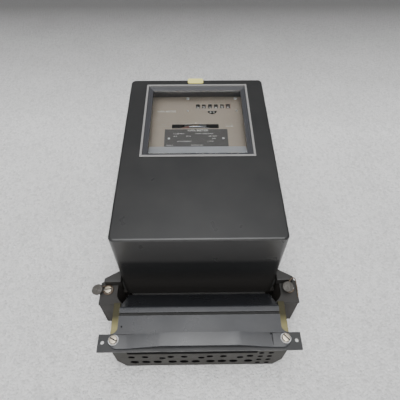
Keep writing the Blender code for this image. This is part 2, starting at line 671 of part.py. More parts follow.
def terminal_cover():
    """Cover over the terminal screws: a flat top with a groove, a sloping back and a lip with two tabs."""
    top, low = COVER_TOP_Z, BASE_RIM_Z + 0.8 * MM
    far, near = COVER_FAR_Y, RAIL_FAR_Y + GAP
    outer = [
        (CREASE_Y, top),
        (far, top),
        (-3.5 * MM, 22 * MM),
        (-3.5 * MM, low),
        (near, low),
        (near, RAIL_TOP_Z + GAP),
        (CREASE_Y, RAIL_TOP_Z + GAP),
    ]
    inner = [
        (CREASE_Y - 1 * MM, top - COVER_T),
        (far - 1.2 * MM, top - COVER_T),
        (-6.8 * MM, 21 * MM),
        (-6.8 * MM, low - 1 * MM),
        (CREASE_Y - 1 * MM, low - 1 * MM),
    ]
    cover = prism("terminal_cover", outer, -COVER_HALF, COVER_HALF, "hood_black", "X")
    inside_half = COVER_HALF - COVER_T
    cut(cover, prism("cover_inside", inner, -inside_half, inside_half, "steel", "X"))
    for name, side in SIDES.items():
        flare = arc((LIP_HALF, CREASE_Y + LIP_CORNER_R), LIP_CORNER_R, 180, 270, 5)
        wing = [(COVER_HALF - 1 * MM, CREASE_Y + LIP_CORNER_R), *flare, (COVER_HALF - 1 * MM, CREASE_Y)]
        join(cover, prism(f"flare_{name}", mirrored(wing, side), top - COVER_T, top, "hood_black"))
    join(cover, cover_lip())
    groove = rectangle(-2 * COVER_HALF, GROOVE[0], 2 * COVER_HALF, GROOVE[1])
    cut(cover, prism("groove_cutter", groove, top - 1.6 * MM, top + 1 * MM, "steel"))
    holes = [(side * COVER_SCREW_X, COVER_SCREW_Y, SCREW_HOLE_R) for side in SIDES.values()]
    return cut_round_holes(cover, "tab_hole_cutter", holes, 55 * MM, top + 1 * MM, sides=12)


# Measuring mechanism

FRAME_T = 3 * MM
FRAME_FLOOR_Z = 19 * MM
FRAME_HALF = 72 * MM
FRAME_NEAR_Y = 80 * MM
FRAME_FAR_Y = 243 * MM
CHEEK_HALF = 16 * MM
PILLAR_R = 4 * MM
PILLAR_PLACES = [(x, y) for x in (-62 * MM, 62 * MM) for y in (98 * MM, 236 * MM)]
DIAL_LOW_Y = 90 * MM
DIAL_HIGH_Y = 243 * MM
DIAL_HALF = 68 * MM
DIAL_T = 1 * MM


def mechanism_frame():
    """Cast frame: a floor plate, a cheek for each bearing, feet, and pillars for the dial."""
    low, high = FRAME_FLOOR_Z, FRAME_FLOOR_Z + FRAME_T
    floor = rectangle(-FRAME_HALF, FRAME_NEAR_Y, FRAME_HALF, FRAME_FAR_Y)
    frame = prism("mechanism_frame", floor, low, high, "cast_aluminium")
    cheek = rectangle(SHAFT_X - CHEEK_HALF, low + 1 * MM, SHAFT_X + CHEEK_HALF, SHAFT_Z + 10 * MM)
    for name, y in (("near", FRAME_NEAR_Y), ("far", FRAME_FAR_Y - FRAME_T)):
        join(frame, prism(f"cheek_{name}", cheek, y, y + FRAME_T, "cast_aluminium", "Y"))
    foot_low = BASE_FLOOR_Z + BASE_FLOOR_T + GAP
    for k, place in enumerate(PILLAR_PLACES):
        pillar_top = DIAL_Z - DIAL_T - GAP
        join(frame, rod(f"pillar_{k}", place, PILLAR_R, foot_low, pillar_top, "cast_aluminium", sides=12))
    bores = [(SHAFT_X, SHAFT_Z, BEARING_NECK_R + GAP / 3)]
    near, far = FRAME_NEAR_Y - 1 * MM, FRAME_FAR_Y + 1 * MM
    return cut_round_holes(frame, "bearing_bore", bores, near, far, "Y", 20)


BEARING_R = 5 * MM
BEARING_NECK_R = 3.2 * MM
SHAFT_R = 1.5 * MM
SHAFT_NEAR_Y = 91 * MM
SHAFT_FAR_Y = 232 * MM


def bearing(name, cheek_y, cup_y, pivot_y):
    """A brass cup on the shaft's end, with a neck held in the frame's cheek."""
    toward = 1 if cup_y > cheek_y else -1
    neck_low, neck_high = sorted((cheek_y, cup_y + toward * 1 * MM))
    cup_low, cup_high = sorted((cup_y, cup_y + toward * 7 * MM))
    centre = (SHAFT_X, SHAFT_Z)
    cup = rod(name, centre, BEARING_R, cup_low, cup_high, "brass", "Y", 20)
    join(cup, rod(f"{name}_neck", centre, BEARING_NECK_R, neck_low, neck_high, "brass", "Y", 20))
    bore_low, bore_high = sorted((pivot_y - toward * 0.5 * MM, pivot_y + toward * 12 * MM))
    return cut_round_holes(cup, f"{name}_bore", [(*centre, SHAFT_R + 0.1 * MM)], bore_low, bore_high, "Y", 20)


def worm_thread():
    """A right-handed trapezoid thread wound round the shaft, its crest facing the wheel's centre."""
    lead = math.pi * WORM_MODULE
    root, tip = WORM_R - 1.1 * WORM_MODULE - 0.2 * MM, WORM_R + 0.8 * WORM_MODULE
    steps, turns = 12, 4
    maker = bmesh.new()
    loops = []
    for k in range(steps * turns + 1):
        turn = 2 * math.pi * (k / steps - turns / 2)
        y = WORM_WHEEL_Y + lead * turn / (2 * math.pi)
        loop = []
        for radius, half in ((root, 0.32), (tip, 0.12), (tip, -0.12), (root, -0.32)):
            x = SHAFT_X + radius * math.sin(turn)
            z = SHAFT_Z + radius * math.cos(turn)
            loop.append(maker.verts.new((x, y + half * lead, z)))
        loops.append(loop)
    for first, second in zip(loops, loops[1:]):
        for j in range(4):
            after = (j + 1) % 4
            maker.faces.new((first[j], first[after], second[after], second[j]))
    maker.faces.new(loops[0])
    maker.faces.new(loops[-1])
    return add_object("worm_thread", maker, "steel")


def rotor_shaft():
    """Steel spindle with pivots, two disc hubs and the worm."""
    centre = (SHAFT_X, SHAFT_Z)
    shaft = rod("rotor_shaft", centre, SHAFT_R, SHAFT_NEAR_Y, SHAFT_FAR_Y, "steel", "Y", 16)
    core = WORM_R - 1.1 * WORM_MODULE
    half = 5.2 * MM
    join(shaft, rod("worm_core", centre, core, WORM_WHEEL_Y - half, WORM_WHEEL_Y + half, "steel", "Y", 24))
    join(shaft, worm_thread())
    for name, y in DISC_YS.items():
        hub_low = y - 4 * MM
        join(shaft, rod(f"{name}_hub", centre, 4 * MM, hub_low, y - 0.9 * MM, "steel", "Y", 16))
    return shaft


def rotor_disc(name):
    """Aluminium disc on the shaft, with its bore and two anti-creep holes."""
    y = DISC_YS[name]
    half = 0.6 * MM
    disc = rod(name, (SHAFT_X, SHAFT_Z), DISC_RADII[name], y - half, y + half, "disc_aluminium", "Y", 56)
    bores = [(SHAFT_X, SHAFT_Z, SHAFT_R + GAP)]
    bores += [(SHAFT_X + side * 30 * MM, SHAFT_Z, 1.5 * MM) for side in SIDES.values()]
    return cut_round_holes(disc, f"{name}_bore", bores, y - MM, y + MM, "Y", 16)


ELEMENTS = {
    "1": ("upper_disc", LEFT),
    "2": ("upper_disc", RIGHT),
    "3": ("lower_disc", RIGHT),
}
STACK = (28 * MM, 42 * MM)
AIR_GAP = 2.4 * MM
CORE_FOOT_Z = FRAME_FLOOR_Z + FRAME_T + GAP
LIMB = 8 * MM
COIL_WALL = 5 * MM


def element_span(side):
    """The lowest and highest x of an element's stack of laminations."""
    ends = sorted(SHAFT_X + side * radius for radius in STACK)
    return ends[0], ends[1]


def voltage_core(number):
    """E-shaped stack whose three limbs point down at the disc; its yoke stands on the frame."""
    disc, side = ELEMENTS[number]
    tip = DISC_YS[disc] + AIR_GAP
    yoke, back = tip + 20 * MM, tip + 28 * MM
    outline = [(back, CORE_FOOT_Z), (back, 86 * MM)]
    for top in (86 * MM, 70 * MM, 54 * MM):
        outline += [(tip, top), (tip, top - LIMB), (yoke, top - LIMB)]
        if top > 54 * MM:
            outline.append((yoke, top - 2 * LIMB))
    outline.append((yoke, CORE_FOOT_Z))
    return prism(f"voltage_core_{number}", outline, *element_span(side), "lamination", "X")


def current_core(number):
    """U-shaped stack whose two limbs point up at the disc; its yoke stands on the frame."""
    disc, side = ELEMENTS[number]
    tip = DISC_YS[disc] - AIR_GAP
    yoke, back = tip - 18 * MM, tip - 25 * MM
    high, low = 82 * MM, 50 * MM
    outline = [
        (back, CORE_FOOT_Z),
        (yoke, CORE_FOOT_Z),
        (yoke, low),
        (tip, low),
        (tip, low + LIMB),
        (yoke, low + LIMB),
        (yoke, high - LIMB),
        (tip, high - LIMB),
        (tip, high),
        (back, high),
    ]
    return prism(f"current_core_{number}", outline, *element_span(side), "lamination", "X")


def coil(name, side, limb_z, low_y, high_y, wall, material):
    """A wound coil: a rounded tube of rectangular section round one limb."""
    low_x, high_x = element_span(side)
    clear = 0.4 * MM
    outer = rounded_rectangle(
        low_x - wall, limb_z - wall, high_x + wall, limb_z + LIMB + wall, 2.5 * MM, steps=3
    )
    body = prism(name, outer, low_y, high_y, material, "Y", smooth=40)
    bore = rectangle(low_x - clear, limb_z - clear, high_x + clear, limb_z + LIMB + clear)
    return cut(body, prism(f"{name}_bore", bore, low_y - MM, high_y + MM, "steel", "Y"))


def element(number):
    """One measuring element: both cores and both coils."""
    disc, side = ELEMENTS[number]
    voltage_tip = DISC_YS[disc] + AIR_GAP
    current_tip = DISC_YS[disc] - AIR_GAP
    voltage_core(number)
    current_core(number)
    voltage_y = (voltage_tip + 3 * MM, voltage_tip + 19.5 * MM)
    coil(f"voltage_coil_{number}", side, 62 * MM, *voltage_y, COIL_WALL, "coil_wrap")
    current_y = (current_tip - 17.5 * MM, current_tip - 4 * MM)
    coil(f"current_coil_{number}", side, 74 * MM, *current_y, COIL_WALL, "brass")


def brake_magnet():
    """C-shaped permanent magnet that straddles the lower disc."""
    y = DISC_YS["lower_disc"]
    out_x, in_x, back_x = -62 * MM, -30 * MM, -52 * MM
    section = [
        (out_x, y - 14 * MM),
        (in_x, y - 14 * MM),
        (in_x, y - AIR_GAP),
        (back_x, y - AIR_GAP),
        (back_x, y + AIR_GAP),
        (in_x, y + AIR_GAP),
        (in_x, y + 14 * MM),
        (out_x, y + 14 * MM),
    ]
    magnet = prism("brake_magnet", section, 52 * MM, 76 * MM, "steel")
    stand = rectangle(out_x, y - 14 * MM, out_x + 6 * MM, y + 14 * MM)
    return join(magnet, prism("magnet_stand", stand, CORE_FOOT_Z, 53 * MM, "steel"))


# Register

def tooth_outline(centre, teeth, module, phase):
    """A spur gear's outline: straight-sided teeth with generous backlash; phase aims one tooth."""
    radius = teeth * module / 2
    pitch = 2 * math.pi / teeth
    flank = ((-1.1, -0.31), (0.75, -0.10), (0.75, 0.10), (-1.1, 0.31))
    points = []
    for k in range(teeth):
        for height, share in flank:
            turn = phase + (k + share) * pitch
            reach = radius + height * module
            points.append((centre[0] + reach * math.cos(turn), centre[1] + reach * math.sin(turn)))
    return points


def mate_phase(first_phase, first_teeth, second_teeth, aim):
    """The phase that puts the second gear's gap on the first gear's tooth; aim is first to second."""
    share = ((aim - first_phase) * first_teeth / (2 * math.pi)) % 1.0
    return aim + math.pi + (share + 0.5) * 2 * math.pi / second_teeth


def gear(name, centre, teeth, module, phase, low_x, high_x, material):
    return prism(name, tooth_outline(centre, teeth, module, phase), low_x, high_x, material, "X")


def meeting_point(first, second, from_first, from_second):
    """The point at the two given distances from two centres, on the lower side."""
    apart = second - first
    along = (from_first**2 - from_second**2 + apart.length_squared) / (2 * apart.length)
    aside = math.sqrt(from_first**2 - along**2)
    unit = apart.normalized()
    return first + unit * along + Vector((unit.y, -unit.x)) * aside


def angle_between(first, second):
    return math.atan2(second.y - first.y, second.x - first.x)


PITCH_SUM = REGISTER_MODULE / 2
WORM_WHEEL_R = WORM_WHEEL_TEETH * WORM_MODULE / 2
WHEEL_AXIS = Vector((WORM_WHEEL_Y, SHAFT_Z + WORM_R + WORM_WHEEL_R))
DRUM_AXIS = Vector((DRUM_AXIS_Y, DRUM_AXIS_Z))
IDLER_AXIS = meeting_point(
    WHEEL_AXIS,
    DRUM_AXIS,
    (PINION_TEETH + IDLER_TEETH) * PITCH_SUM,
    (IDLER_TEETH + DRUM_TEETH) * PITCH_SUM,
)
CARRY_AXIS = DRUM_AXIS + Vector(((DRUM_TEETH + CARRY_TEETH) * PITCH_SUM, 0))
PINION_PHASE = angle_between(WHEEL_AXIS, IDLER_AXIS)
IDLER_PHASE = mate_phase(PINION_PHASE, PINION_TEETH, IDLER_TEETH, PINION_PHASE)
DRUM_PHASE = mate_phase(IDLER_PHASE, IDLER_TEETH, DRUM_TEETH, angle_between(IDLER_AXIS, DRUM_AXIS))
CARRY_PHASE = mate_phase(DRUM_PHASE, DRUM_TEETH, CARRY_TEETH, 0.0)
RIM_HALF = 2.6 * MM
RING_FAR = 5.1 * MM
ARBOR_R = 1 * MM
ARBOR_HOLE_R = 1.15 * MM
CHEEK_XS = (-9 * MM, 50.5 * MM)
CHEEK_T = 1.5 * MM
DRUM_COUNT = 6
LAST_DRUM_X = DRUM_FIRST_X + (DRUM_COUNT - 1) * DRUM_PITCH
GEAR_XS = (LAST_DRUM_X + RIM_HALF + 0.5 * MM, LAST_DRUM_X + RING_FAR - 0.2 * MM)


ARBOR_LOW_X = CHEEK_XS[0] - 0.8 * MM
ARBOR_HIGH_X = CHEEK_XS[1] + CHEEK_T + 0.8 * MM


def arbor(name, axis_place, material="steel", low_x=ARBOR_LOW_X):
    return rod(name, tuple(axis_place), ARBOR_R, low_x, ARBOR_HIGH_X, material, "X", 12)


def worm_wheel():
    """Brass wheel driven by the worm, with its arbor and the pinion at the other end."""
    tooth_gap = -math.pi / 2
    phase = tooth_gap + math.pi / WORM_WHEEL_TEETH
    low, high = SHAFT_X - 0.6 * MM, SHAFT_X + 0.6 * MM
    wheel = gear("worm_wheel", WHEEL_AXIS, WORM_WHEEL_TEETH, WORM_MODULE, phase, low, high, "brass")
    join(wheel, arbor("wheel_arbor", WHEEL_AXIS, "brass"))
    pinion = gear(
        "wheel_pinion", WHEEL_AXIS, PINION_TEETH, REGISTER_MODULE, PINION_PHASE, *GEAR_XS, "brass"
    )
    return join(wheel, pinion)


def idler_gear():
    """Brass idler between the wheel's pinion and the fastest drum, on a stub arbor in one cheek."""
    idler = gear("idler_gear", IDLER_AXIS, IDLER_TEETH, REGISTER_MODULE, IDLER_PHASE, *GEAR_XS, "brass")
    return join(idler, arbor("idler_arbor", IDLER_AXIS, "brass", GEAR_XS[0] - 1 * MM))


def digit_drum(number):
    """Number drum: a plain rim for the digits and a toothed ring on its right."""
    x = DRUM_FIRST_X + (number - 1) * DRUM_PITCH
    centre = tuple(DRUM_AXIS)
    drum = rod(f"digit_drum_{number}", centre, DRUM_R, x - RIM_HALF, x + RIM_HALF, "drum_black", "X", 30)
    ring = gear(f"drum_ring_{number}", DRUM_AXIS, DRUM_TEETH, REGISTER_MODULE, DRUM_PHASE, x, x + RING_FAR, "drum_black")
    join(drum, ring)
    bore = [(*centre, ARBOR_HOLE_R)]
    return cut_round_holes(drum, f"drum_bore_{number}", bore, x - 5 * MM, x + 8 * MM, "X", 12)


def carry_pinion(number):
    """Pinion in the gap right of its drum, in mesh with that drum's ring."""
    x = DRUM_FIRST_X + (number - 1) * DRUM_PITCH
    low, high = x + RIM_HALF + 0.4 * MM, x + RING_FAR - 0.1 * MM
    name = f"carry_pinion_{number}"
    pinion = gear(name, CARRY_AXIS, CARRY_TEETH, REGISTER_MODULE, CARRY_PHASE, low, high, "nickel")
    bore = [(*CARRY_AXIS, ARBOR_HOLE_R)]
    return cut_round_holes(pinion, f"{name}_bore", bore, low - MM, high + MM, "X", 10)


def register_frame():
    """Two cheeks joined by a wall on the far side; the arbors run in the cheeks."""
    low_y, high_y = WORM_WHEEL_Y - 6 * MM, 237 * MM
    low_z, high_z = 86.8 * MM, DIAL_Z - DIAL_T - GAP
    wall = prism(
        "register_frame",
        rectangle(high_y - CHEEK_T, low_z, high_y, high_z),
        CHEEK_XS[0],
        CHEEK_XS[1] + CHEEK_T,
        "brass",
        "X",
    )
    for k, x in enumerate(CHEEK_XS):
        cheek = rectangle(low_y, low_z, high_y, high_z)
        join(wall, prism(f"register_cheek_{k}", cheek, x, x + CHEEK_T, "brass", "X"))
    running = [(*place, ARBOR_HOLE_R) for place in (WHEEL_AXIS, IDLER_AXIS)]
    fixed = [(*place, ARBOR_HOLE_R) for place in (DRUM_AXIS, CARRY_AXIS)]
    low, high = CHEEK_XS[0] - MM, CHEEK_XS[1] + CHEEK_T + MM
    return cut_round_holes(wall, "arbor_holes", running + fixed, low, high, "X", 12)


# Dial

SLOT = (-32.3 * MM, 177 * MM, 27.4 * MM, 184.4 * MM)
DIGIT_HALF_X = 2.45 * MM
DIGIT_HALF_Y = 4 * MM
UNIT_WINDOW = (20 * MM, 208 * MM, 3.6 * MM)
LABEL = (-41 * MM, 142.1 * MM, 38 * MM, 174.4 * MM)
LABEL_T = 0.7 * MM


def dial_plate():
    """Face plate with the disc's slot, six digit windows and a round unit window."""
    low, high = DIAL_Z - DIAL_T, DIAL_Z
    face = rectangle(-DIAL_HALF, DIAL_LOW_Y, DIAL_HALF, DIAL_HIGH_Y)
    plate = prism("dial_plate", face, low, high, "dial_taupe")
    maker = bmesh.new()
    extrude_outline(maker, rectangle(*SLOT), low - MM, high + MM)
    for k in range(DRUM_COUNT):
        x = DRUM_FIRST_X + k * DRUM_PITCH
        window = rectangle(
            x - DIGIT_HALF_X, DRUM_AXIS_Y - DIGIT_HALF_Y, x + DIGIT_HALF_X, DRUM_AXIS_Y + DIGIT_HALF_Y
        )
        extrude_outline(maker, window, low - MM, high + MM)
    extrude_outline(maker, circle(UNIT_WINDOW[:2], UNIT_WINDOW[2], 16), low - MM, high + MM)
    return cut(plate, add_object("dial_openings", maker, "steel"))


def name_plate():
    low = DIAL_Z + GAP
    return prism("name_plate", rectangle(*LABEL), low, low + LABEL_T, "label_dark")


# Assembly

def build_casing():
    back_plate()
    base_tray()
    hood_gasket()
    terminal_block()
    cover_rail()
    for side_name in SIDES:
        rail_bracket(side_name)


def build_hood():
    members = [hood(), window_frame(), window_pane(), marker_clip()]
    for side_name, side in SIDES.items():
        centre = (side * HOOD_SCREW_X, HOOD_SCREW_Y)
        turn = 5 if side == LEFT else 60
        members.append(
            cheese_head_screw(f"hood_screw_{side_name}", centre, EAR_TOP_Z + GAP, 27 * MM, turn)
        )
        members += [lead_seal(side_name), seal_wire(side_name)]
    move_group("hood_group", (0, HOOD_LENGTH / 2, HOOD_FOOT_Z), members)


def build_cover():
    members = [terminal_cover()]
    for side_name, side in SIDES.items():
        centre = (side * COVER_SCREW_X, COVER_SCREW_Y)
        turn = -28 if side == LEFT else -48
        members.append(
            cheese_head_screw(f"cover_screw_{side_name}", centre, LIP_TOP_Z + GAP, 53 * MM, turn)
        )
    move_group("cover_group", (0, COVER_SCREW_Y, RAIL_TOP_Z), members)


def build_mechanism():
    mechanism_frame()
    bearing("lower_bearing", FRAME_NEAR_Y, FRAME_NEAR_Y + FRAME_T + GAP, SHAFT_NEAR_Y)
    bearing("upper_bearing", FRAME_FAR_Y, FRAME_FAR_Y - FRAME_T - GAP, SHAFT_FAR_Y)
    brake_magnet()
    for number in ELEMENTS:
        element(number)
    rotor = [rotor_shaft()] + [rotor_disc(name) for name in DISC_YS]
    move_group("rotor_group", (SHAFT_X, DISC_YS["upper_disc"], SHAFT_Z), rotor)


def build_register():
    register_frame()
    arbor("drum_shaft", DRUM_AXIS)
    arbor("carry_shaft", CARRY_AXIS)
    move_group("wheel_group", (SHAFT_X, *WHEEL_AXIS), [worm_wheel()])
    move_group("idler_group", (LAST_DRUM_X, *IDLER_AXIS), [idler_gear()])
    for number in range(1, DRUM_COUNT + 1):
        x = DRUM_FIRST_X + (number - 1) * DRUM_PITCH
        move_group(f"drum_group_{number}", (x, *DRUM_AXIS), [digit_drum(number)])
        if number < DRUM_COUNT:
            move_group(f"carry_group_{number}", (x, *CARRY_AXIS), [carry_pinion(number)])


def main():
    clear_scene()
    build_casing()
    build_hood()
    build_cover()
    build_mechanism()
    build_register()
    dial_plate()
    name_plate()


main()
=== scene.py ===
"""Looks of a three-phase induction meter that lies on its back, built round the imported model.

Frame: +X to the right of the dial, +Y towards the meter's top, +Z out of its front. Sizes in
metres, written as millimetres times MM. Flat and edged pieces are refined copies of the model's
nodes or prisms; turned, lofted and swept ones are worked out with numpy.
"""

import json
import math

import bmesh
import bpy
import numpy as np
from mathutils import Matrix, Vector


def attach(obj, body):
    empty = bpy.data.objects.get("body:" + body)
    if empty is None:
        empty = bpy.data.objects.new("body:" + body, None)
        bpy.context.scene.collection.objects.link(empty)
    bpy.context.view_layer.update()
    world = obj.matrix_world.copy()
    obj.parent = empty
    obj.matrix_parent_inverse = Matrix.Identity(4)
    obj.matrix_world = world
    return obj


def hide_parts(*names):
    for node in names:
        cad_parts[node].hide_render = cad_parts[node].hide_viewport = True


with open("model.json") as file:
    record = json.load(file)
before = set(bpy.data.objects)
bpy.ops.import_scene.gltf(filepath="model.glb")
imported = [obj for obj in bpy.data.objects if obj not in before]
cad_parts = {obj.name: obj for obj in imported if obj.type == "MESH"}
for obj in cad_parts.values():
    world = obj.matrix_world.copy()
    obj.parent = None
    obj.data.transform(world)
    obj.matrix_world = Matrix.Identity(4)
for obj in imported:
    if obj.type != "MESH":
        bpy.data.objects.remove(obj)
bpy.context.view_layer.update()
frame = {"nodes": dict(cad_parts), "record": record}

MM = 0.001
SIDES = {"left": -1, "right": 1}
BODY_OF = {node: body for body, nodes in frame["record"]["behaviour"]["bodies"].items() for node in nodes}
SLOT_OF = {part["node"]: part["material_slot"] for part in frame["record"]["subparts"]}


# Mesh tools

def mesh_object(name, points, faces, material, smooth=35.0):
    """A mesh object at the origin; its faces are turned outwards and shaded smooth below an angle."""
    mesh = bpy.data.meshes.new(name)
    mesh.from_pydata(np.asarray(points, float).tolist(), [], [list(map(int, face)) for face in faces])
    shell = bmesh.new()
    shell.from_mesh(mesh)
    bmesh.ops.recalc_face_normals(shell, faces=shell.faces)
    shell.to_mesh(mesh)
    shell.free()
    return wrap_mesh(name, mesh, material, smooth)


def wrap_mesh(name, mesh, material=None, smooth=35.0):
    """An object round a finished mesh; without a material it keeps the mesh's own."""
    if material:
        mesh.materials.clear()
        mesh.materials.append(material)
    mesh.shade_smooth()
    mesh.set_sharp_from_angle(angle=math.radians(smooth))
    made = bpy.data.objects.new(name, mesh)
    bpy.context.scene.collection.objects.link(made)
    return made


def settle(made, body, slot, *nodes):
    """The piece rides on its body and stands for the nodes named; the slot is not used."""
    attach(made, body)
    if nodes:
        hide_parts(*nodes)
    return made


def loft(rings, loop=False):
    """Points and faces of the skin through rings of equal count; loop joins the last to the first."""
    rings = np.asarray(rings, float)
    count, around = rings.shape[:2]
    index = np.arange(count * around).reshape(count, around)
    if loop:
        index = np.vstack([index, index[:1]])
    low, high = index[:-1], index[1:]
    faces = np.stack([low, np.roll(low, -1, 1), np.roll(high, -1, 1), high], axis=-1).reshape(-1, 4).tolist()
    if not loop:
        faces += [index[0].tolist(), index[-1].tolist()]
    return rings.reshape(-1, 3), faces


def merged(parts):
    """Points and faces of several (points, faces) pairs in one list."""
    points, faces, start = [], [], 0
    for some, theirs in parts:
        points.append(np.asarray(some, float))
        faces += [[start + int(k) for k in face] for face in theirs]
        start += len(some)
    return np.vstack(points), faces


def rounded_ring(centre, half, radius, z, steps=8):
    """A rounded rectangle at height z: four quarter circles of the radius about its inner corners."""
    turn = np.radians(np.linspace(0, 90, steps + 1))
    radius = max(radius, 1e-5)
    quarters = []
    for k, (sx, sy) in enumerate(((1, 1), (-1, 1), (-1, -1), (1, -1))):
        angle = turn + k * math.pi / 2
        x = centre[0] + sx * (half[0] - radius) + radius * np.cos(angle)
        y = centre[1] + sy * (half[1] - radius) + radius * np.sin(angle)
        quarters.append(np.stack([x, y, np.full_like(x, z)], axis=-1))
    return np.vstack(quarters)


def turned(profile, centre, axis="Z", sides=48):
    """A profile of (radius, height) pairs turned about the axis through the centre."""
    profile = np.asarray(profile, float)
    angle = np.linspace(0, 2 * math.pi, sides, endpoint=False)
    a = profile[:, :1] * np.cos(angle)
    b = profile[:, :1] * np.sin(angle)
    h = np.repeat(profile[:, 1:], sides, axis=1)
    order = {"Z": (a, b, h), "Y": (a, h, b), "X": (h, a, b)}[axis]
    return loft(np.stack(order, axis=-1) + np.asarray(centre, float))


def tube(route, radius, sides=10):
    """A round section carried along the route; the section's frame turns with the tangent."""
    route = np.asarray(route, float)
    tangent = np.gradient(route, axis=0)
    tangent /= np.linalg.norm(tangent, axis=1, keepdims=True)
    side = np.cross(tangent[0], (0.31, 0.17, 0.93))
    sections = []
    angle = np.linspace(0, 2 * math.pi, sides, endpoint=False)[:, None]
    radii = np.broadcast_to(radius, len(route))
    for point, along, size in zip(route, tangent, radii):
        side = side - along * np.dot(side, along)
        side /= np.linalg.norm(side)
        other = np.cross(along, side)
        sections.append(point + size * (np.cos(angle) * side + np.sin(angle) * other))
    return loft(sections)


def smooth_route(points, count):
    """A Catmull-Rom curve through the points, read at evenly spaced parameters."""
    points = np.asarray(points, float)
    padded = np.vstack([2 * points[0] - points[1], points, 2 * points[-1] - points[-2]])
    place = np.linspace(0, len(points) - 1 - 1e-9, count)
    k = place.astype(int)
    t = (place - k)[:, None]
    p0, p1, p2, p3 = padded[k], padded[k + 1], padded[k + 2], padded[k + 3]
    square = 2 * p0 - 5 * p1 + 4 * p2 - p3
    cube = 3 * p1 - p0 - 3 * p2 + p3
    return 0.5 * (2 * p1 + (p2 - p0) * t + square * t**2 + cube * t**3)


def prism(outline, low, high, axis="Z"):
    """An outline in the plane across the axis, carried from low to high."""
    outline = np.asarray(outline, float)
    rings = []
    for along in (low, high):
        a, b = outline[:, 0], outline[:, 1]
        h = np.full_like(a, along)
        rings.append(np.stack({"Z": (a, b, h), "Y": (a, h, b), "X": (h, a, b)}[axis], axis=-1))
    return loft(rings)


def block(low, high):
    """A rectangular prism between two opposite corners."""
    (x0, y0, z0), (x1, y1, z1) = low, high
    return prism([(x0, y0), (x1, y0), (x1, y1), (x0, y1)], z0, z1)


def millimetre_block(low, high):
    return block(np.array(low) * MM, np.array(high) * MM)


def rounded_edges(made, width, segments=3, angle=30.0):
    """A live bevel on the edges sharper than the angle, with the flat faces kept flat."""
    step = made.modifiers.new("rounding", "BEVEL")
    step.width = width
    step.segments = segments
    step.limit_method = "ANGLE"
    step.angle_limit = math.radians(angle)
    step.harden_normals = True
    step.use_clamp_overlap = True
    return made


def flat_normals(made):
    """Shading that follows the larger faces, so that flat ones look flat beside narrow ones."""
    step = made.modifiers.new("even_shading", "WEIGHTED_NORMAL")
    step.keep_sharp = True
    return made


def carved(made, cutters, union=False):
    """The object with the cutters taken away, or joined on, and its modifiers applied. A cut face
    takes its cutter's material."""
    for cutter in cutters:
        step = made.modifiers.new(cutter.name, "BOOLEAN")
        step.object = cutter
        step.operation = "UNION" if union else "DIFFERENCE"
        step.material_mode = "TRANSFER"
    bpy.context.view_layer.update()
    evaluated = made.evaluated_get(bpy.context.evaluated_depsgraph_get())
    mesh = bpy.data.meshes.new_from_object(evaluated)
    name = made.name
    for old in (made, *cutters):
        bpy.data.objects.remove(old)
    return wrap_mesh(name, mesh)


def refined(node, material, width, segments=2, angle=30.0):
    """A merged copy of a node with rounded edges, standing for it."""
    source = frame["nodes"][node]
    shell = bmesh.new()
    shell.from_mesh(source.data)
    bmesh.ops.transform(shell, matrix=source.matrix_world, verts=shell.verts)
    bmesh.ops.remove_doubles(shell, verts=shell.verts, dist=0.002 * MM)
    bmesh.ops.dissolve_limit(shell, angle_limit=math.radians(1), verts=shell.verts, edges=shell.edges)
    mesh = bpy.data.meshes.new(f"{node}_fine")
    shell.to_mesh(mesh)
    shell.free()
    made = wrap_mesh(f"{node}_fine", mesh, material)
    rounded_edges(made, width, segments, angle)
    return settle(made, BODY_OF[node], SLOT_OF[node], node)


def lettering(text, size, place, thick=0.05 * MM, align="CENTER"):
    """Raised lettering on a plane across Z, as points and faces in place."""
    words = bpy.data.curves.new("lettering", "FONT")
    words.body = text
    words.size = size
    words.align_x = align
    words.align_y = "CENTER"
    words.extrude = thick / 2
    words.offset = 0.012 * size
    words.resolution_u = 3
    holder = bpy.data.objects.new("lettering", words)
    bpy.context.scene.collection.objects.link(holder)
    bpy.context.view_layer.update()
    mesh = bpy.data.meshes.new_from_object(holder.evaluated_get(bpy.context.evaluated_depsgraph_get()))
    mesh.transform(Matrix.Translation(Vector(place)))
    points = np.array([vertex.co for vertex in mesh.vertices])
    faces = [list(face.vertices) for face in mesh.polygons]
    bpy.data.objects.remove(holder)
    return points, faces


# Shader groups

def node(tree, kind, sockets=None, **settings):
    """A new shader node; each socket is given a value or the socket that feeds it."""
    made = tree.nodes.new("ShaderNode" + kind)
    for key, value in settings.items():
        setattr(made, key, value)
    for key, value in (sockets or {}).items():
        if isinstance(value, bpy.types.NodeSocket):
            tree.links.new(value, made.inputs[key])
        else:
            made.inputs[key].default_value = value
    return made


def ramp(tree, fac, low, high):
    """Values from low to high spread over 0 to 1."""
    return node(tree, "MapRange", {"Value": fac, "From Min": low, "From Max": high}).outputs[0]


def maths(tree, operation, a, b=0.0):
    """The result of one step of arithmetic on values or sockets."""
    return node(tree, "Math", {0: a, 1: b}, operation=operation).outputs[0]


def times(tree, a, b):
    return maths(tree, "MULTIPLY", a, b)


def plus(tree, a, b):
    return maths(tree, "ADD", a, b)


def minus(tree, a, b):
    return maths(tree, "SUBTRACT", a, b)


def effect(name, inputs, outputs, fill):
    """A shader group with float inputs and named outputs; fill(tree, entry) returns its output sockets."""
    tree = bpy.data.node_groups.new(name, "ShaderNodeTree")
    for key, value in inputs.items():
        made = tree.interface.new_socket(key, in_out="INPUT", socket_type="NodeSocketFloat")
        made.default_value = value
    for key in outputs:
        tree.interface.new_socket(key, in_out="OUTPUT", socket_type="NodeSocketFloat")
    entry = tree.nodes.new("NodeGroupInput")
    leave = tree.nodes.new("NodeGroupOutput")
    for key, socket in fill(tree, entry.outputs).items():
        tree.links.new(socket, leave.inputs[key])
    return tree


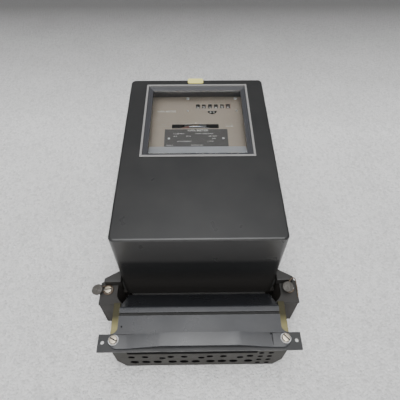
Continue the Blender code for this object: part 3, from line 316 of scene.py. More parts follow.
def fill_grain(tree, entry):
    """Fine noise, plus a broad one for patches."""
    where = node(tree, "TexCoord").outputs["Object"]
    fine = node(tree, "TexNoise", {"Vector": where, "Scale": entry["Scale"], "Detail": 4.0, "Roughness": 0.6})
    broad_scale = times(tree, entry["Scale"], 0.03)
    broad = node(tree, "TexNoise", {"Vector": where, "Scale": broad_scale, "Detail": 2.0, "Roughness": 0.4})
    patches = ramp(tree, broad.outputs[0], 0.15, 0.85)
    return {"Fine": ramp(tree, fine.outputs[0], 0.3, 0.7), "Patches": patches}


def fill_wear(tree, entry):
    """How far the rounded normal leaves the true one, broken up by noise: 1 on worn edges."""
    where = node(tree, "TexCoord").outputs["Object"]
    true = node(tree, "NewGeometry").outputs["Normal"]
    eased = node(tree, "Bevel", {"Radius": entry["Radius"]}, samples=6).outputs[0]
    agree = node(tree, "VectorMath", {0: true, 1: eased}, operation="DOT_PRODUCT").outputs["Value"]
    off = minus(tree, 1.0, agree)
    patch = node(tree, "TexNoise", {"Vector": where, "Scale": 130.0, "Detail": 5.0, "Roughness": 0.7})
    spread = times(tree, ramp(tree, off, 0.02, 0.16), ramp(tree, patch.outputs[0], 0.4, 0.62))
    return {"Mask": times(tree, spread, entry["Amount"])}


def fill_dust(tree, entry):
    """A thin film on faces that look up, thicker in patches, with a few specks."""
    where = node(tree, "TexCoord").outputs["Object"]
    up = node(tree, "SeparateXYZ", {0: node(tree, "NewGeometry").outputs["Normal"]}).outputs["Z"]
    patch = node(tree, "TexNoise", {"Vector": where, "Scale": 26.0, "Detail": 6.0, "Roughness": 0.65})
    specks = node(tree, "TexVoronoi", {"Vector": where, "Scale": 420.0}).outputs["Distance"]
    speck = times(tree, ramp(tree, specks, 0.10, 0.06), 0.6)
    film = times(tree, ramp(tree, patch.outputs[0], 0.35, 0.75), 0.7)
    both = times(tree, maths(tree, "MAXIMUM", film, speck), ramp(tree, up, 0.3, 1.0))
    return {"Mask": times(tree, both, entry["Amount"])}


SCRATCH_RUNS = ((0.35, 310.0), (-1.1, 240.0), (1.9, 420.0))


def fill_scratches(tree, entry):
    """Thin lines: the narrow bands where a noise drawn out along one direction crosses its middle."""
    where = node(tree, "TexCoord").outputs["Object"]
    total = None
    for turn, across in SCRATCH_RUNS:
        run = node(tree, "Mapping", {"Vector": where, "Rotation": (0.0, 0.0, turn)}).outputs[0]
        drawn = node(tree, "VectorMath", {0: run, 1: (5.0, across, 40.0)}, operation="MULTIPLY")
        line = node(tree, "TexNoise", {"Vector": drawn.outputs[0], "Scale": 1.0, "Detail": 0.0}).outputs[0]
        thin = ramp(tree, maths(tree, "ABSOLUTE", minus(tree, line, 0.5)), 0.008, 0.0)
        total = thin if total is None else maths(tree, "MAXIMUM", total, thin)
    patch = node(tree, "TexNoise", {"Vector": where, "Scale": 60.0, "Detail": 3.0}).outputs[0]
    broken = times(tree, total, ramp(tree, patch, 0.55, 0.66))
    return {"Mask": times(tree, broken, entry["Amount"])}


def fill_stripes(tree, entry):
    """Even lines across X or Y: the edges of stacked sheets or the turns of a winding."""
    where = node(tree, "TexCoord").outputs["Object"]
    part = node(tree, "SeparateXYZ", {0: where})
    share_x = times(tree, part.outputs["X"], minus(tree, 1.0, entry["Y share"]))
    along = plus(tree, share_x, times(tree, part.outputs["Y"], entry["Y share"]))
    wave = maths(tree, "SINE", times(tree, along, entry["Lines per metre"]))
    return {"Wave": ramp(tree, wave, -1.0, 1.0)}


def fill_grime(tree, entry):
    """Dull dirt and painted shade on everything below a height, with a ragged upper edge."""
    where = node(tree, "TexCoord").outputs["Object"]
    ragged = node(tree, "TexNoise", {"Vector": where, "Scale": 90.0, "Detail": 4.0}).outputs[0]
    height = node(tree, "SeparateXYZ", {0: where}).outputs["Z"]
    below = minus(tree, entry["Height"], height)
    shifted = plus(tree, below, times(tree, ragged, 0.008))
    return {"Mask": ramp(tree, shifted, 0.0, 0.03)}


def fill_faded_wall(tree, entry):
    """Painted light: the part of a wall that faces the cover and stands above a height, made lighter in
    colour.
    """
    where = node(tree, "SeparateXYZ", {0: node(tree, "TexCoord").outputs["Object"]})
    facing = node(tree, "SeparateXYZ", {0: node(tree, "NewGeometry").outputs["Normal"]}).outputs["Y"]
    at_wall = ramp(tree, where.outputs["Y"], 0.002, 0.0005)
    near_side = times(tree, ramp(tree, facing, -0.7, -0.98), at_wall)
    above = minus(tree, where.outputs["Z"], entry["Height"])
    return {"Mask": times(tree, near_side, ramp(tree, above, -0.004, 0.003))}


def fill_beads(tree, entry):
    """Pressed beads: a cell pattern gives each a round top, and a few of them get a painted glint."""
    where = node(tree, "TexCoord").outputs["Object"]
    cells = node(tree, "TexVoronoi", {"Vector": where, "Scale": entry["Scale"]})
    away = cells.outputs["Distance"]
    pick, tone, _ = node(tree, "SeparateColor", {"Color": cells.outputs["Color"]}).outputs
    glint = times(tree, ramp(tree, pick, 0.86, 0.98), ramp(tree, away, 0.5, 0.2))
    round_top = ramp(tree, away, 0.8, 0.0)
    return {"Round": round_top, "Glint": glint, "Tone": maths(tree, "POWER", tone, 2.0)}


def fill_fade(tree, entry):
    """Painted shade: from 0 to 1 along Y between two places, how far the colour darkens."""
    where = node(tree, "TexCoord").outputs["Object"]
    along = node(tree, "SeparateXYZ", {0: where}).outputs["Y"]
    passed = minus(tree, along, entry["Start"])
    span = minus(tree, entry["End"], entry["Start"])
    return {"Mask": ramp(tree, maths(tree, "DIVIDE", passed, span), 0.0, 1.0)}


DIRT_AND_SHADE_BROWN = (0.024, 0.021, 0.018)
PAINTED_LIGHT_ABOVE = 98 * MM
WEAR_RADIUS = 1.2 * MM
PAINTED_GLINT_WHITE = (0.97, 0.97, 0.97)
GRAIN = effect("fine_grain", {"Scale": 900.0}, ("Fine", "Patches"), fill_grain)
WEAR = effect("edge_wear", {"Radius": WEAR_RADIUS, "Amount": 0.5}, ("Mask",), fill_wear)
DUST = effect("settled_dust", {"Amount": 0.2}, ("Mask",), fill_dust)
SCRATCHES = effect("hairline_scratches", {"Amount": 0.3}, ("Mask",), fill_scratches)
DIRT_AND_SHADE_BELOW = effect("dirt_and_painted_shade_below", {"Height": 0.06}, ("Mask",), fill_grime)
PAINTED_WALL_LIGHT = effect("painted_wall_light", {"Height": PAINTED_LIGHT_ABOVE}, ("Mask",), fill_faded_wall)
BEADS = effect("pressed_beads", {"Scale": 300.0}, ("Round", "Glint", "Tone"), fill_beads)
SHADE_ALONG_Y = effect("painted_shade_along_y", {"Start": 0.3, "End": 0.9}, ("Mask",), fill_fade)
STRIPES = effect("even_stripes", {"Lines per metre": 12000.0, "Y share": 0.0}, ("Wave",), fill_stripes)


def use(tree, group, **values):
    """The outputs of a new copy of a group; an underscore in a key stands for a space."""
    made = tree.nodes.new("ShaderNodeGroup")
    made.node_tree = group
    for key, value in values.items():
        made.inputs[key.replace("_", " ")].default_value = value
    return made.outputs


def mix(tree, fac, a, b):
    """A colour between a and b, each a plain colour or a socket."""
    made = node(tree, "Mix", data_type="RGBA")
    for key, value in ((0, fac), (6, a), (7, b)):
        if isinstance(value, bpy.types.NodeSocket):
            tree.links.new(value, made.inputs[key])
        elif key == 0:
            made.inputs[key].default_value = value
        else:
            made.inputs[key].default_value = (*value, 1.0)
    return made.outputs[2]


def scaled(colour, share):
    return tuple(share * part for part in colour)


def surface(
    name, colour, roughness, metallic=0.0, other=None, patchy=0.5, grain=900.0, bump=0.02,
    wear=0.0, worn=(0.2, 0.2, 0.2), dust=0.0, dusty=(0.32, 0.30, 0.27),
    scratch=0.0, scratched=None, spread=0.08, stripes=None, coat=0.0, specular=0.5, dirt_and_shade_height=None,
    beads=0.0, shade_along_y=None, wall_light_colour=None,
):
    """A finish: patchy colour with fine grain, then stripes, scratches, worn edges, dust, painted light on
    a wall's upper part, pressed beads with painted glints, painted shade along Y, and dull dirt with
    painted shade below a height laid over it, each only where it is asked for."""
    material = bpy.data.materials.new(name)
    material.use_nodes = True
    tree = material.node_tree
    shader = tree.nodes["Principled BSDF"]
    shader.inputs["Metallic"].default_value = metallic
    shader.inputs["Coat Weight"].default_value = coat
    shader.inputs["Coat Roughness"].default_value = 0.08
    shader.inputs["Specular IOR Level"].default_value = specular
    speckle = use(tree, GRAIN, Scale=grain)
    other = other or scaled(colour, 0.75)
    blend = times(tree, plus(tree, speckle["Patches"], speckle["Fine"]), patchy)
    shade = mix(tree, blend, colour, other)
    rough = plus(tree, roughness - spread, times(tree, speckle["Patches"], 2 * spread))
    height = speckle["Fine"]
    if stripes:
        wave = use(tree, STRIPES, Lines_per_metre=stripes[0], Y_share=stripes[1])["Wave"]
        shade = mix(tree, times(tree, wave, stripes[2]), shade, scaled(colour, 0.35))
        height = minus(tree, height, times(tree, wave, 3.0))
    if scratch:
        lines = use(tree, SCRATCHES, Amount=scratch)["Mask"]
        bared = scratched or tuple(min(1.0, 2.5 * part + 0.03) for part in colour)
        shade = mix(tree, lines, shade, bared)
        height = minus(tree, height, lines)
    if wear:
        rubbed = use(tree, WEAR, Radius=WEAR_RADIUS, Amount=wear)["Mask"]
        shade = mix(tree, rubbed, shade, worn)
        rough = minus(tree, rough, times(tree, rubbed, 0.1))
    if dust:
        film = use(tree, DUST, Amount=dust)["Mask"]
        shade = mix(tree, film, shade, dusty)
        rough = plus(tree, rough, times(tree, film, 0.5))
    # painted light: the upper part of the hood's near wall gets a lighter colour
    if wall_light_colour:
        band = use(tree, PAINTED_WALL_LIGHT, Height=PAINTED_LIGHT_ABOVE)["Mask"]
        shade = mix(tree, band, shade, wall_light_colour)
    if beads:
        cells = use(tree, BEADS, Scale=beads)
        shade = mix(tree, times(tree, cells["Tone"], 0.45), shade, scaled(colour, 0.5))
        # painted glint: a few beads are coloured near-white
        shade = mix(tree, cells["Glint"], shade, PAINTED_GLINT_WHITE)
        height = plus(tree, height, cells["Round"])
    # painted shade: the colour darkens along Y, on the rail brackets' web towards the hood and on the far
    # floor
    if shade_along_y:
        away = use(tree, SHADE_ALONG_Y, Start=shade_along_y[0], End=shade_along_y[1])["Mask"]
        shade = mix(tree, away, shade, scaled(other, 0.25))
    # dirt and painted shade: below a height the colour goes dull brown and the surface rougher
    if dirt_and_shade_height:
        low = use(tree, DIRT_AND_SHADE_BELOW, Height=dirt_and_shade_height)["Mask"]
        shade = mix(tree, times(tree, low, 0.7), shade, DIRT_AND_SHADE_BROWN)
        rough = plus(tree, rough, times(tree, low, 0.38))
    tree.links.new(shade, shader.inputs["Base Color"])
    tree.links.new(rough, shader.inputs["Roughness"])
    relief = node(tree, "Bump", {"Strength": 1.0, "Distance": bump * MM, "Height": height})
    tree.links.new(relief.outputs[0], shader.inputs["Normal"])
    return material


FINISH = {
    "hood_black": surface(
        "hood_black", (0.022, 0.0225, 0.023), 0.30, grain=1500.0, bump=0.012, wear=0.12,
        # dull dirt and painted shade below 75 mm, over the ears and the foot of the walls
        worn=(0.12, 0.12, 0.12), dust=0.04, patchy=0.35, spread=0.05, dirt_and_shade_height=0.075,
        # painted light on the upper part of the near wall
        wall_light_colour=(0.046, 0.0455, 0.045),
    ),
    "base_brown": surface(
        "base_brown", (0.040, 0.036, 0.032), 0.55, other=(0.029, 0.026, 0.024), grain=1300.0, bump=0.05,
        wear=0.5, worn=(0.16, 0.145, 0.13), dust=0.12, scratch=0.15, specular=0.25,
    ),
    "block_brown": surface(
        "block_brown", (0.040, 0.037, 0.032), 0.58, other=(0.030, 0.028, 0.024), grain=1300.0, bump=0.05,
        wear=0.5, worn=(0.12, 0.11, 0.10), dust=0.15, scratch=0.1, specular=0.3,
    ),
    "zinc_yellow": surface(
        "zinc_yellow", (0.23, 0.205, 0.085), 0.42, metallic=0.8, other=(0.17, 0.155, 0.085), grain=260.0,
        wear=0.3, worn=(0.55, 0.53, 0.45), scratch=0.25, scratched=(0.30, 0.28, 0.20), spread=0.1,
    ),
    "zinc_painted_shadow": surface(
        "zinc_painted_shadow", (0.23, 0.205, 0.085), 0.42, metallic=0.8, other=(0.17, 0.155, 0.085), grain=260.0,
        wear=0.3, worn=(0.45, 0.43, 0.34), scratch=0.25, scratched=(0.30, 0.28, 0.20), spread=0.1,
        # painted shadow: the brackets' web darkens towards the hood
        shade_along_y=(-0.054, -0.042),
    ),
    "rail_black": surface(
        "rail_black", (0.026, 0.027, 0.029), 0.38, grain=1100.0, bump=0.03, wear=0.6, worn=(0.20, 0.19, 0.18),
        dust=0.08, scratch=0.15, patchy=0.4, specular=0.35,
    ),
    "nickel": surface(
        "nickel", (0.52, 0.47, 0.39), 0.30, metallic=1.0, other=(0.36, 0.31, 0.23), grain=1600.0,
        wear=0.4, worn=(0.70, 0.66, 0.58), scratch=0.35, scratched=(0.25, 0.21, 0.16),
    ),
    "lead": surface(
        "lead", (0.115, 0.110, 0.102), 0.6, metallic=0.4, other=(0.062, 0.056, 0.048), grain=700.0, bump=0.12,
        wear=0.5, worn=(0.26, 0.25, 0.24), scratch=0.4, scratched=(0.24, 0.23, 0.22),
    ),
    "seal_wire": surface(
        "seal_wire", (0.24, 0.20, 0.15), 0.5, metallic=0.7, other=(0.14, 0.085, 0.05), bump=0.05,
        patchy=0.7,
    ),
    "frame_grey": surface(
        "frame_grey", (0.30, 0.295, 0.29), 0.34, grain=1500.0, bump=0.01, wear=0.4, worn=(0.40, 0.40, 0.40),
        scratch=0.2, patchy=0.4,
    ),
    "marker_yellow": surface(
        "marker_yellow", (0.90, 0.83, 0.27), 0.42, other=(0.82, 0.75, 0.26),
        wear=0.2, worn=(0.85, 0.82, 0.55), dust=0.1, dusty=(0.5, 0.47, 0.34), scratch=0.1,
    ),
    "dial_taupe": surface(
        "dial_taupe", (0.45, 0.372, 0.288), 0.42, other=(0.395, 0.325, 0.252), grain=2200.0,
        dust=0.05, patchy=0.4, metallic=0.1,
    ),
    "label_dark": surface(
        "label_dark", (0.104, 0.094, 0.085), 0.45, grain=2000.0, bump=0.01, wear=0.4,
        worn=(0.3, 0.3, 0.28), metallic=0.1,
    ),
    "cast_aluminium": surface(
        "cast_aluminium", (0.56, 0.56, 0.56), 0.50, metallic=0.85, other=(0.44, 0.44, 0.45), grain=800.0,
        bump=0.1, wear=0.4, worn=(0.75, 0.75, 0.75), dust=0.15,
    ),
    "disc_aluminium": surface(
        "disc_aluminium", (0.80, 0.80, 0.81), 0.24, metallic=1.0, grain=2500.0, bump=0.01, scratch=0.15,
    ),
    "steel": surface(
        "steel", (0.46, 0.46, 0.47), 0.34, metallic=1.0, grain=1500.0, scratch=0.3, wear=0.4,
        worn=(0.7, 0.7, 0.7),
    ),
    "lamination": surface(
        "lamination", (0.24, 0.25, 0.27), 0.45, metallic=0.75, bump=0.03,
        stripes=(12566.0, 0.0, 0.8), wear=0.3, worn=(0.5, 0.5, 0.5),
    ),
    "coil_wrap": surface(
        "coil_wrap", (0.26, 0.075, 0.035), 0.50, other=(0.17, 0.05, 0.028), grain=700.0, bump=0.06,
        stripes=(3000.0, 1.0, 0.4), coat=0.4,
    ),
    "brass": surface(
        "brass", (0.70, 0.50, 0.20), 0.30, metallic=1.0, other=(0.55, 0.38, 0.16), grain=1300.0, bump=0.015,
        scratch=0.25, scratched=(0.42, 0.30, 0.14), wear=0.3, worn=(0.85, 0.68, 0.36),
    ),
    # also painted shade on the dial openings' walls and in the strip behind the plate
    "drum_black": surface("drum_black", (0.028, 0.028, 0.032), 0.42, grain=1500.0, dust=0.1),
    # also painted shade in screw slots and the cover's groove, and the dark pads laid in as painted shadow
    "gasket_grey": surface("gasket_grey", (0.035, 0.035, 0.034), 0.92, grain=2600.0, bump=0.2, patchy=0.7),
    # the frame's grey made darker for its inner slope: painted shade
    "frame_grey_painted_shade": surface(
        "frame_grey_painted_shade", (0.055, 0.056, 0.062), 0.45, grain=1500.0, bump=0.01, scratch=0.1, patchy=0.4,
        specular=0.35,
    ),
    "tunnel_dark": surface("tunnel_dark", (0.026, 0.027, 0.033), 0.4, grain=1500.0, bump=0.01, patchy=0.4),
    "sill_grey": surface(
        "sill_grey", (0.58, 0.585, 0.60), 0.35, grain=1500.0, bump=0.01, patchy=0.3, dust=0.2,
    ),
    "cover_black": surface(
        "cover_black", (0.026, 0.028, 0.033), 0.30, grain=1300.0, wear=0.4, worn=(0.18, 0.18, 0.18),
        dust=0.08, patchy=0.35,
    ),
    # nickel heads coloured near-white instead of metal: a painted highlight
    "nickel_painted_highlight": surface("nickel_painted_highlight", (0.90, 0.89, 0.86), 0.3, grain=1500.0, bump=0.01),
    "copper": surface(
        "copper", (0.62, 0.27, 0.14), 0.32, metallic=1.0, other=(0.45, 0.18, 0.10), grain=1200.0, bump=0.01,
        coat=0.3,
    ),
    "print_white": surface("print_white", (0.78, 0.76, 0.70), 0.5, grain=1800.0, bump=0.01, patchy=0.25),
    "print_faint": surface("print_faint", (0.50, 0.46, 0.40), 0.5, grain=1800.0, bump=0.01, patchy=0.3),
    "mark_red": surface("mark_red", (0.30, 0.12, 0.10), 0.45, grain=1500.0, bump=0.01),
    # near-black; on cut faces and the rail's lip it is painted shade
    "deep_black": surface("deep_black", (0.006, 0.006, 0.006), 0.9, grain=1200.0, specular=0.05),
}


def clear_glass():
    """Slightly blue glass with a film of fine haze."""
    material = bpy.data.materials.new("clear")
    material.use_nodes = True
    tree = material.node_tree
    shader = tree.nodes["Principled BSDF"]
    shader.inputs["Base Color"].default_value = (0.93, 0.95, 0.97, 1.0)
    shader.inputs["Transmission Weight"].default_value = 1.0
    shader.inputs["IOR"].default_value = 1.45
    speckle = use(tree, GRAIN, Scale=1200.0)
    tree.links.new(times(tree, speckle["Patches"], 0.06), shader.inputs["Roughness"])
    return material


FINISH["clear"] = clear_glass()


def dress_nodes():
    """Every node of the model takes its slot's finish."""
    for name, model in frame["nodes"].items():
        model.data.materials.clear()
        model.data.materials.append(FINISH[SLOT_OF[name]])


# Hood, ears and window

HOOD_HALF = 87.5 * MM
HOOD_LENGTH = 252 * MM
HOOD_FOOT_Z = 19.5 * MM
HOOD_FRONT_Z = 140 * MM
HOOD_WALL = 3 * MM
HOOD_CORNER_R = 6 * MM
HOOD_EDGE_R = 2.5 * MM
WINDOW_MID = np.array((0.0, 174.6)) * MM
WINDOW_HOLE = 64 * MM
EAR_LOW_Z, EAR_TOP_Z, EAR_STEP_Z = 49.5 * MM, 52 * MM, 61 * MM
EAR_OUT_X, EAR_NEAR_Y = 109.8 * MM, -27 * MM
EAR_HOLLOW = MM * np.array([
    (86, 4), (89.8, -3), (90.4, -10), (90.2, -17), (88, -21.4), (85.6, -24.2), (83.9, -25.4),
])
STEP_OUT_X, STEP_NEAR_Y = 105 * MM, -4.5 * MM
HOOD_SCREW = np.array((100.8, -10.4)) * MM
SCREW_HOLE_R = 2.3 * MM
BORE_SIDES = 32


def window_ring(half, z, radius=0.8 * MM):
    return rounded_ring(WINDOW_MID, (half, half), radius, z)


def ear(side):
    """One ear: a plate with a smooth hollow inner side, and its raised far part."""
    slope = [(EAR_OUT_X, -1.5 * MM), (86 * MM, 12.7 * MM)]
    plan = [*slope, *smooth_route(EAR_HOLLOW, 26), (83.9 * MM, EAR_NEAR_Y), (EAR_OUT_X, EAR_NEAR_Y)]
    in_x = 86.3 * MM
    step = [(STEP_OUT_X, 0.2 * MM), (in_x, 10.8 * MM), (in_x, STEP_NEAR_Y), (STEP_OUT_X, STEP_NEAR_Y)]
    parts = []
    for outline, low, high, width in (
        (plan, EAR_LOW_Z, EAR_TOP_Z, 0.8 * MM),
        (step, EAR_LOW_Z + MM, EAR_STEP_Z, 1.3 * MM),
    ):
        points = [(side * x, y) for x, y in outline]
        made = mesh_object("ear_part", *prism(points, low, high), FINISH["hood_black"])
        parts.append(rounded_edges(made, width, 4))
    return parts


def round_hole(side, place, low, high, finish):
    """A cutter for a screw's clearance hole on one side, low and high in millimetres."""
    return round_cutter((side * place[0], place[1], 0), SCREW_HOLE_R, low * MM, high * MM, finish)


def round_cutter(centre, radius, low, high, finish="hood_black", axis="Z", sides=BORE_SIDES):
    """A straight round bar to take away."""
    return mesh_object("bore", *turned([(radius, low), (radius, high)], centre, axis, sides), FINISH[finish])


def hood():
    """Rounded rectangles skinned in turn: up the window's edge, across the front, round the front
    edge on a quarter circle, down the side, and back up inside the wall."""
    centre = (0.0, HOOD_LENGTH / 2)
    half = np.array((HOOD_HALF, HOOD_LENGTH / 2))
    rings = [window_ring(WINDOW_HOLE, z) for z in (HOOD_FRONT_Z - HOOD_WALL, HOOD_FRONT_Z)]
    for turn in np.radians(np.linspace(0, 90, 9)):
        inset = HOOD_EDGE_R * (1 - math.sin(turn))
        z = HOOD_FRONT_Z - HOOD_EDGE_R * (1 - math.cos(turn))
        rings.append(rounded_ring(centre, half - inset, HOOD_CORNER_R - inset, z))
    rings.append(rounded_ring(centre, half, HOOD_CORNER_R, HOOD_FOOT_Z))
    for z in (HOOD_FOOT_Z, HOOD_FRONT_Z - HOOD_WALL):
        rings.append(rounded_ring(centre, half - HOOD_WALL, HOOD_CORNER_R - HOOD_WALL, z))
    shell = mesh_object("hood_fine", *loft(rings, loop=True), FINISH["hood_black"])
    shell = carved(shell, [part for side in SIDES.values() for part in ear(side)], union=True)
    holes = [round_hole(side, HOOD_SCREW, 45, 54, "hood_black") for side in SIDES.values()]
    settle(flat_normals(carved(shell, holes)), "hood_body", "hood_black", "hood")


def window():
    """The frame, its dark tunnel down to the dial, the pale sill at the near side, and the pane."""
    top, seat = HOOD_FRONT_Z + 1.2 * MM, HOOD_FRONT_Z - 6 * MM
    outside = [(63.7, seat), (63.7, 140.3 * MM), (65.75, 140.3 * MM), (65.75, top - 0.25 * MM), (65.5, top)]
    inside = [(63.4, top), (63.2, top - 0.2 * MM), (63.2, seat)]
    slope = [(63.0, 139.2), (62.8, 139.3), (60.6, 138.6), (60.3, 138.2), (57.6, 137.3), (57.4, 137.0)]
    skin = [window_ring(half * MM, z) for half, z in outside + inside]
    rim = mesh_object("window_rim", *loft(skin, loop=True), FINISH["frame_grey"], 25)
    settle(flat_normals(rim), "hood_body", "frame_grey", "window_frame")
    skin = [window_ring(half * MM, z * MM) for half, z in [(63.0, 134.0), *slope, (57.4, 134.0)]]
    # the inner slope is the frame's plastic in a darker copy: painted shade
    bezel = mesh_object("window_bezel", *loft(skin, loop=True), FINISH["frame_grey_painted_shade"], 15)
    settle(flat_normals(bezel), "hood_body", "frame_grey")
    wall = 1.0 * MM
    low_mid, low_half = np.array((0.0, 189.8)) * MM, np.array((61.8, 49.4)) * MM
    skin = []
    for grow in (0.0, wall):
        upper = rounded_ring(WINDOW_MID, (57.5 * MM + grow, 57.5 * MM + grow), MM, seat - 0.2 * MM)
        lower = rounded_ring(low_mid, low_half + grow, 2 * MM, 120.7 * MM)
        skin += [upper, lower] if grow == 0 else [lower, upper]
    tunnel = mesh_object("window_tunnel", *loft(skin, loop=True), FINISH["tunnel_dark"], 25)
    settle(flat_normals(tunnel), "hood_body", "hood_black")
    profile = [(117.6, 133.6), (141.6, 121.5), (142.6, 121.1), (142.8, 121.5), (141.9, 122.1), (117.8, 134.4)]
    bar = prism(np.array(profile) * MM, -58.6 * MM, 58.6 * MM, "X")
    sill = mesh_object("window_sill", *bar, FINISH["sill_grey"])
    settle(rounded_edges(sill, 0.15 * MM, 2), "hood_body", "frame_grey")
    edge = ((56.9, 135.2), (57.2, 135.5), (57.2, 136.9), (56.9, 137.1))
    pane = [window_ring(half * MM, z * MM) for half, z in edge]
    glass = mesh_object("window_pane_fine", *loft(pane), FINISH["clear"], 10)
    settle(glass, "hood_body", "clear", "window_pane")


def marker_clip():
    """A pad with round corners on the hood's front and its leg down the upper wall, joined and eased."""
    yellow = FINISH["marker_yellow"]
    low = HOOD_FRONT_Z + 0.3 * MM
    pad = rounded_ring((-1.7 * MM, 247.9 * MM), (10.2 * MM, 5.3 * MM), 2.2 * MM, 0)[:, :2]
    leg = rounded_ring((-1.7 * MM, 134.8 * MM), (10.2 * MM, 6.4 * MM), 2.2 * MM, 0)[:, :2]
    made = mesh_object("marker_clip_fine", *prism(pad, low, low + 0.9 * MM), yellow)
    made = carved(made, [mesh_object("leg", *prism(leg, 252.3 * MM, 253.2 * MM, "Y"), yellow)], union=True)
    settle(rounded_edges(made, 0.25 * MM, 3), "hood_body", "marker_yellow", "marker_clip")


# Screws, wires and seals

SCREW_HEAD_R, SCREW_HEAD_H, SCREW_SLOT = 4.3 * MM, 3.1 * MM, 1.3 * MM
COVER_SCREW = np.array((86.4, -68.4)) * MM
HOOD_SCREW_SEAT, COVER_SCREW_SEAT = 52.3 * MM, 63.1 * MM
LEADS = {"left": ((-111.9, -11.5, 56.6), (6, -10)), "right": ((97.6, -12, 60), (8, 10))}
LEAD_R, LEAD_HALF_T = 6.1 * MM, 2 * MM
STRAND_R = 0.32 * MM
WASHER = [(2.3, -0.28), (5.2, -0.28), (5.3, -0.15), (5.2, -0.02), (2.3, -0.02)]
LOOSE_WIRE = [(97.6, -10, 60), (102, -4, 62.6), (106.2, -3.5, 62), (108.2, -8, 57), (109, -14, 54)]
LOOSE_WIRE += [(108.6, -21, 53.2)]


def slotted_head(name, place, seat, radius, height, slot, turn, shank_r, shank_z, material):
    """A cheese head: head and shank turned about Z, its upper edge on a quarter circle, and a slot."""
    ease = 0.18 * radius
    top = seat + height
    curve = np.radians(np.linspace(0, 90, 6))
    edge = [(radius - ease * (1 - math.cos(a)), top - ease * (1 - math.sin(a))) for a in curve]
    profile = [(shank_r * 0.8, shank_z), (shank_r, shank_z + 0.2 * shank_r), (shank_r, seat)]
    profile += [(radius * 0.97, seat), (radius, seat + 0.05 * radius), *edge]
    made = mesh_object(name, *turned(profile, (*place, 0), "Z", 56), material, 40)
    a, b = 2 * radius, slot / 2
    turned_by = np.array([[math.cos(turn), math.sin(turn)], [-math.sin(turn), math.cos(turn)]])
    outline = np.array([(-a, -b), (a, -b), (a, b), (-a, b)]) @ turned_by + place
    # the slot's faces take the dark rubber finish as painted shade in the slot
    cutter = mesh_object("slot", *prism(outline, top - 0.5 * height, top + height), FINISH["gasket_grey"])
    return rounded_edges(carved(made, [cutter]), 0.03 * radius, 2, 40)


def screws():
    """The four slotted screws, each with a thin washer under its head."""
    for side_name, side in SIDES.items():
        for kind, place, seat, foot, turns in (
            ("hood", HOOD_SCREW, HOOD_SCREW_SEAT, 27 * MM, (5, 60)),
            ("cover", COVER_SCREW, COVER_SCREW_SEAT, 53 * MM, (-28, -48)),
        ):
            name, body = f"{kind}_screw_{side_name}", f"{kind}_body"
            centre = np.array((side * place[0], place[1]))
            turn = math.radians(turns[side > 0])
            head = (SCREW_HEAD_R, SCREW_HEAD_H, SCREW_SLOT)
            made = slotted_head(f"{name}_fine", centre, seat, *head, turn, 2 * MM, foot, FINISH["nickel"])
            settle(made, body, "nickel", name)
            ring = np.array(WASHER) * MM + (0, seat)
            washer = mesh_object(f"{name}_washer", *turned_ring(ring, (*centre, 0)), FINISH["steel"])
            settle(washer, body, "nickel")


def turned_ring(profile, centre, axis="Z", sides=48):
    """A closed profile turned about the axis: every ring joined to the next and the last to the first."""
    points, _ = turned(profile, centre, axis, sides)
    return loft(points.reshape(len(profile), sides, 3), loop=True)


def lead_seal(side_name):
    """A pressed lead disc: radius and height follow cosine and sine powers of one angle, the rim
    wavers with the turn, and both faces carry a ring and a bar pressed in."""
    centre, tilt = LEADS[side_name]
    rise = np.radians(np.linspace(-89.5, 89.5, 41))[:, None]
    turn = np.linspace(0, 2 * math.pi, 72, endpoint=False)[None, :]
    waver = 1 + 0.045 * np.sin(2 * turn + 0.8) + 0.022 * np.sin(5 * turn + 2.0)
    reach = LEAD_R * np.abs(np.cos(rise)) ** 0.62 * waver
    height = LEAD_HALF_T * np.sign(rise) * np.abs(np.sin(rise)) ** 0.5 * (1 + 0.12 * np.sin(turn + 0.5))
    x, y = reach * np.cos(turn), reach * np.sin(turn)
    ring = np.exp(-(((reach / LEAD_R - 0.62) / 0.09) ** 2))
    bar = np.exp(-((x / (0.7 * MM)) ** 2)) * (reach < 0.5 * LEAD_R)
    height = height - np.sign(rise) * 0.32 * MM * np.maximum(ring, bar)
    points = np.stack([x, y, height], axis=-1)
    place = Matrix.Translation(Vector(centre) * MM)
    place @= Matrix.Rotation(math.radians(tilt[0]), 4, "X") @ Matrix.Rotation(math.radians(tilt[1]), 4, "Y")
    place = np.array(place)
    skin = loft(points @ place[:3, :3].T + place[:3, 3])
    made = mesh_object(f"lead_seal_{side_name}_fine", *skin, FINISH["lead"], 60)
    settle(made, "hood_body", "lead", f"lead_seal_{side_name}")


def twisted(route, turns):
    """Two strands either side of the route, turning about it the given number of times."""
    route = np.asarray(route, float)
    tangent = np.gradient(route, axis=0)
    tangent /= np.linalg.norm(tangent, axis=1, keepdims=True)
    side = np.cross(tangent, (0.13, 0.21, 0.97))
    side /= np.linalg.norm(side, axis=1, keepdims=True)
    other = np.cross(tangent, side)
    angle = np.linspace(0, 2 * math.pi * turns, len(route))[:, None]
    offset = STRAND_R * 1.02 * (np.cos(angle) * side + np.sin(angle) * other)
    return merged([tube(route + offset, STRAND_R, 8), tube(route - offset, STRAND_R, 8)])


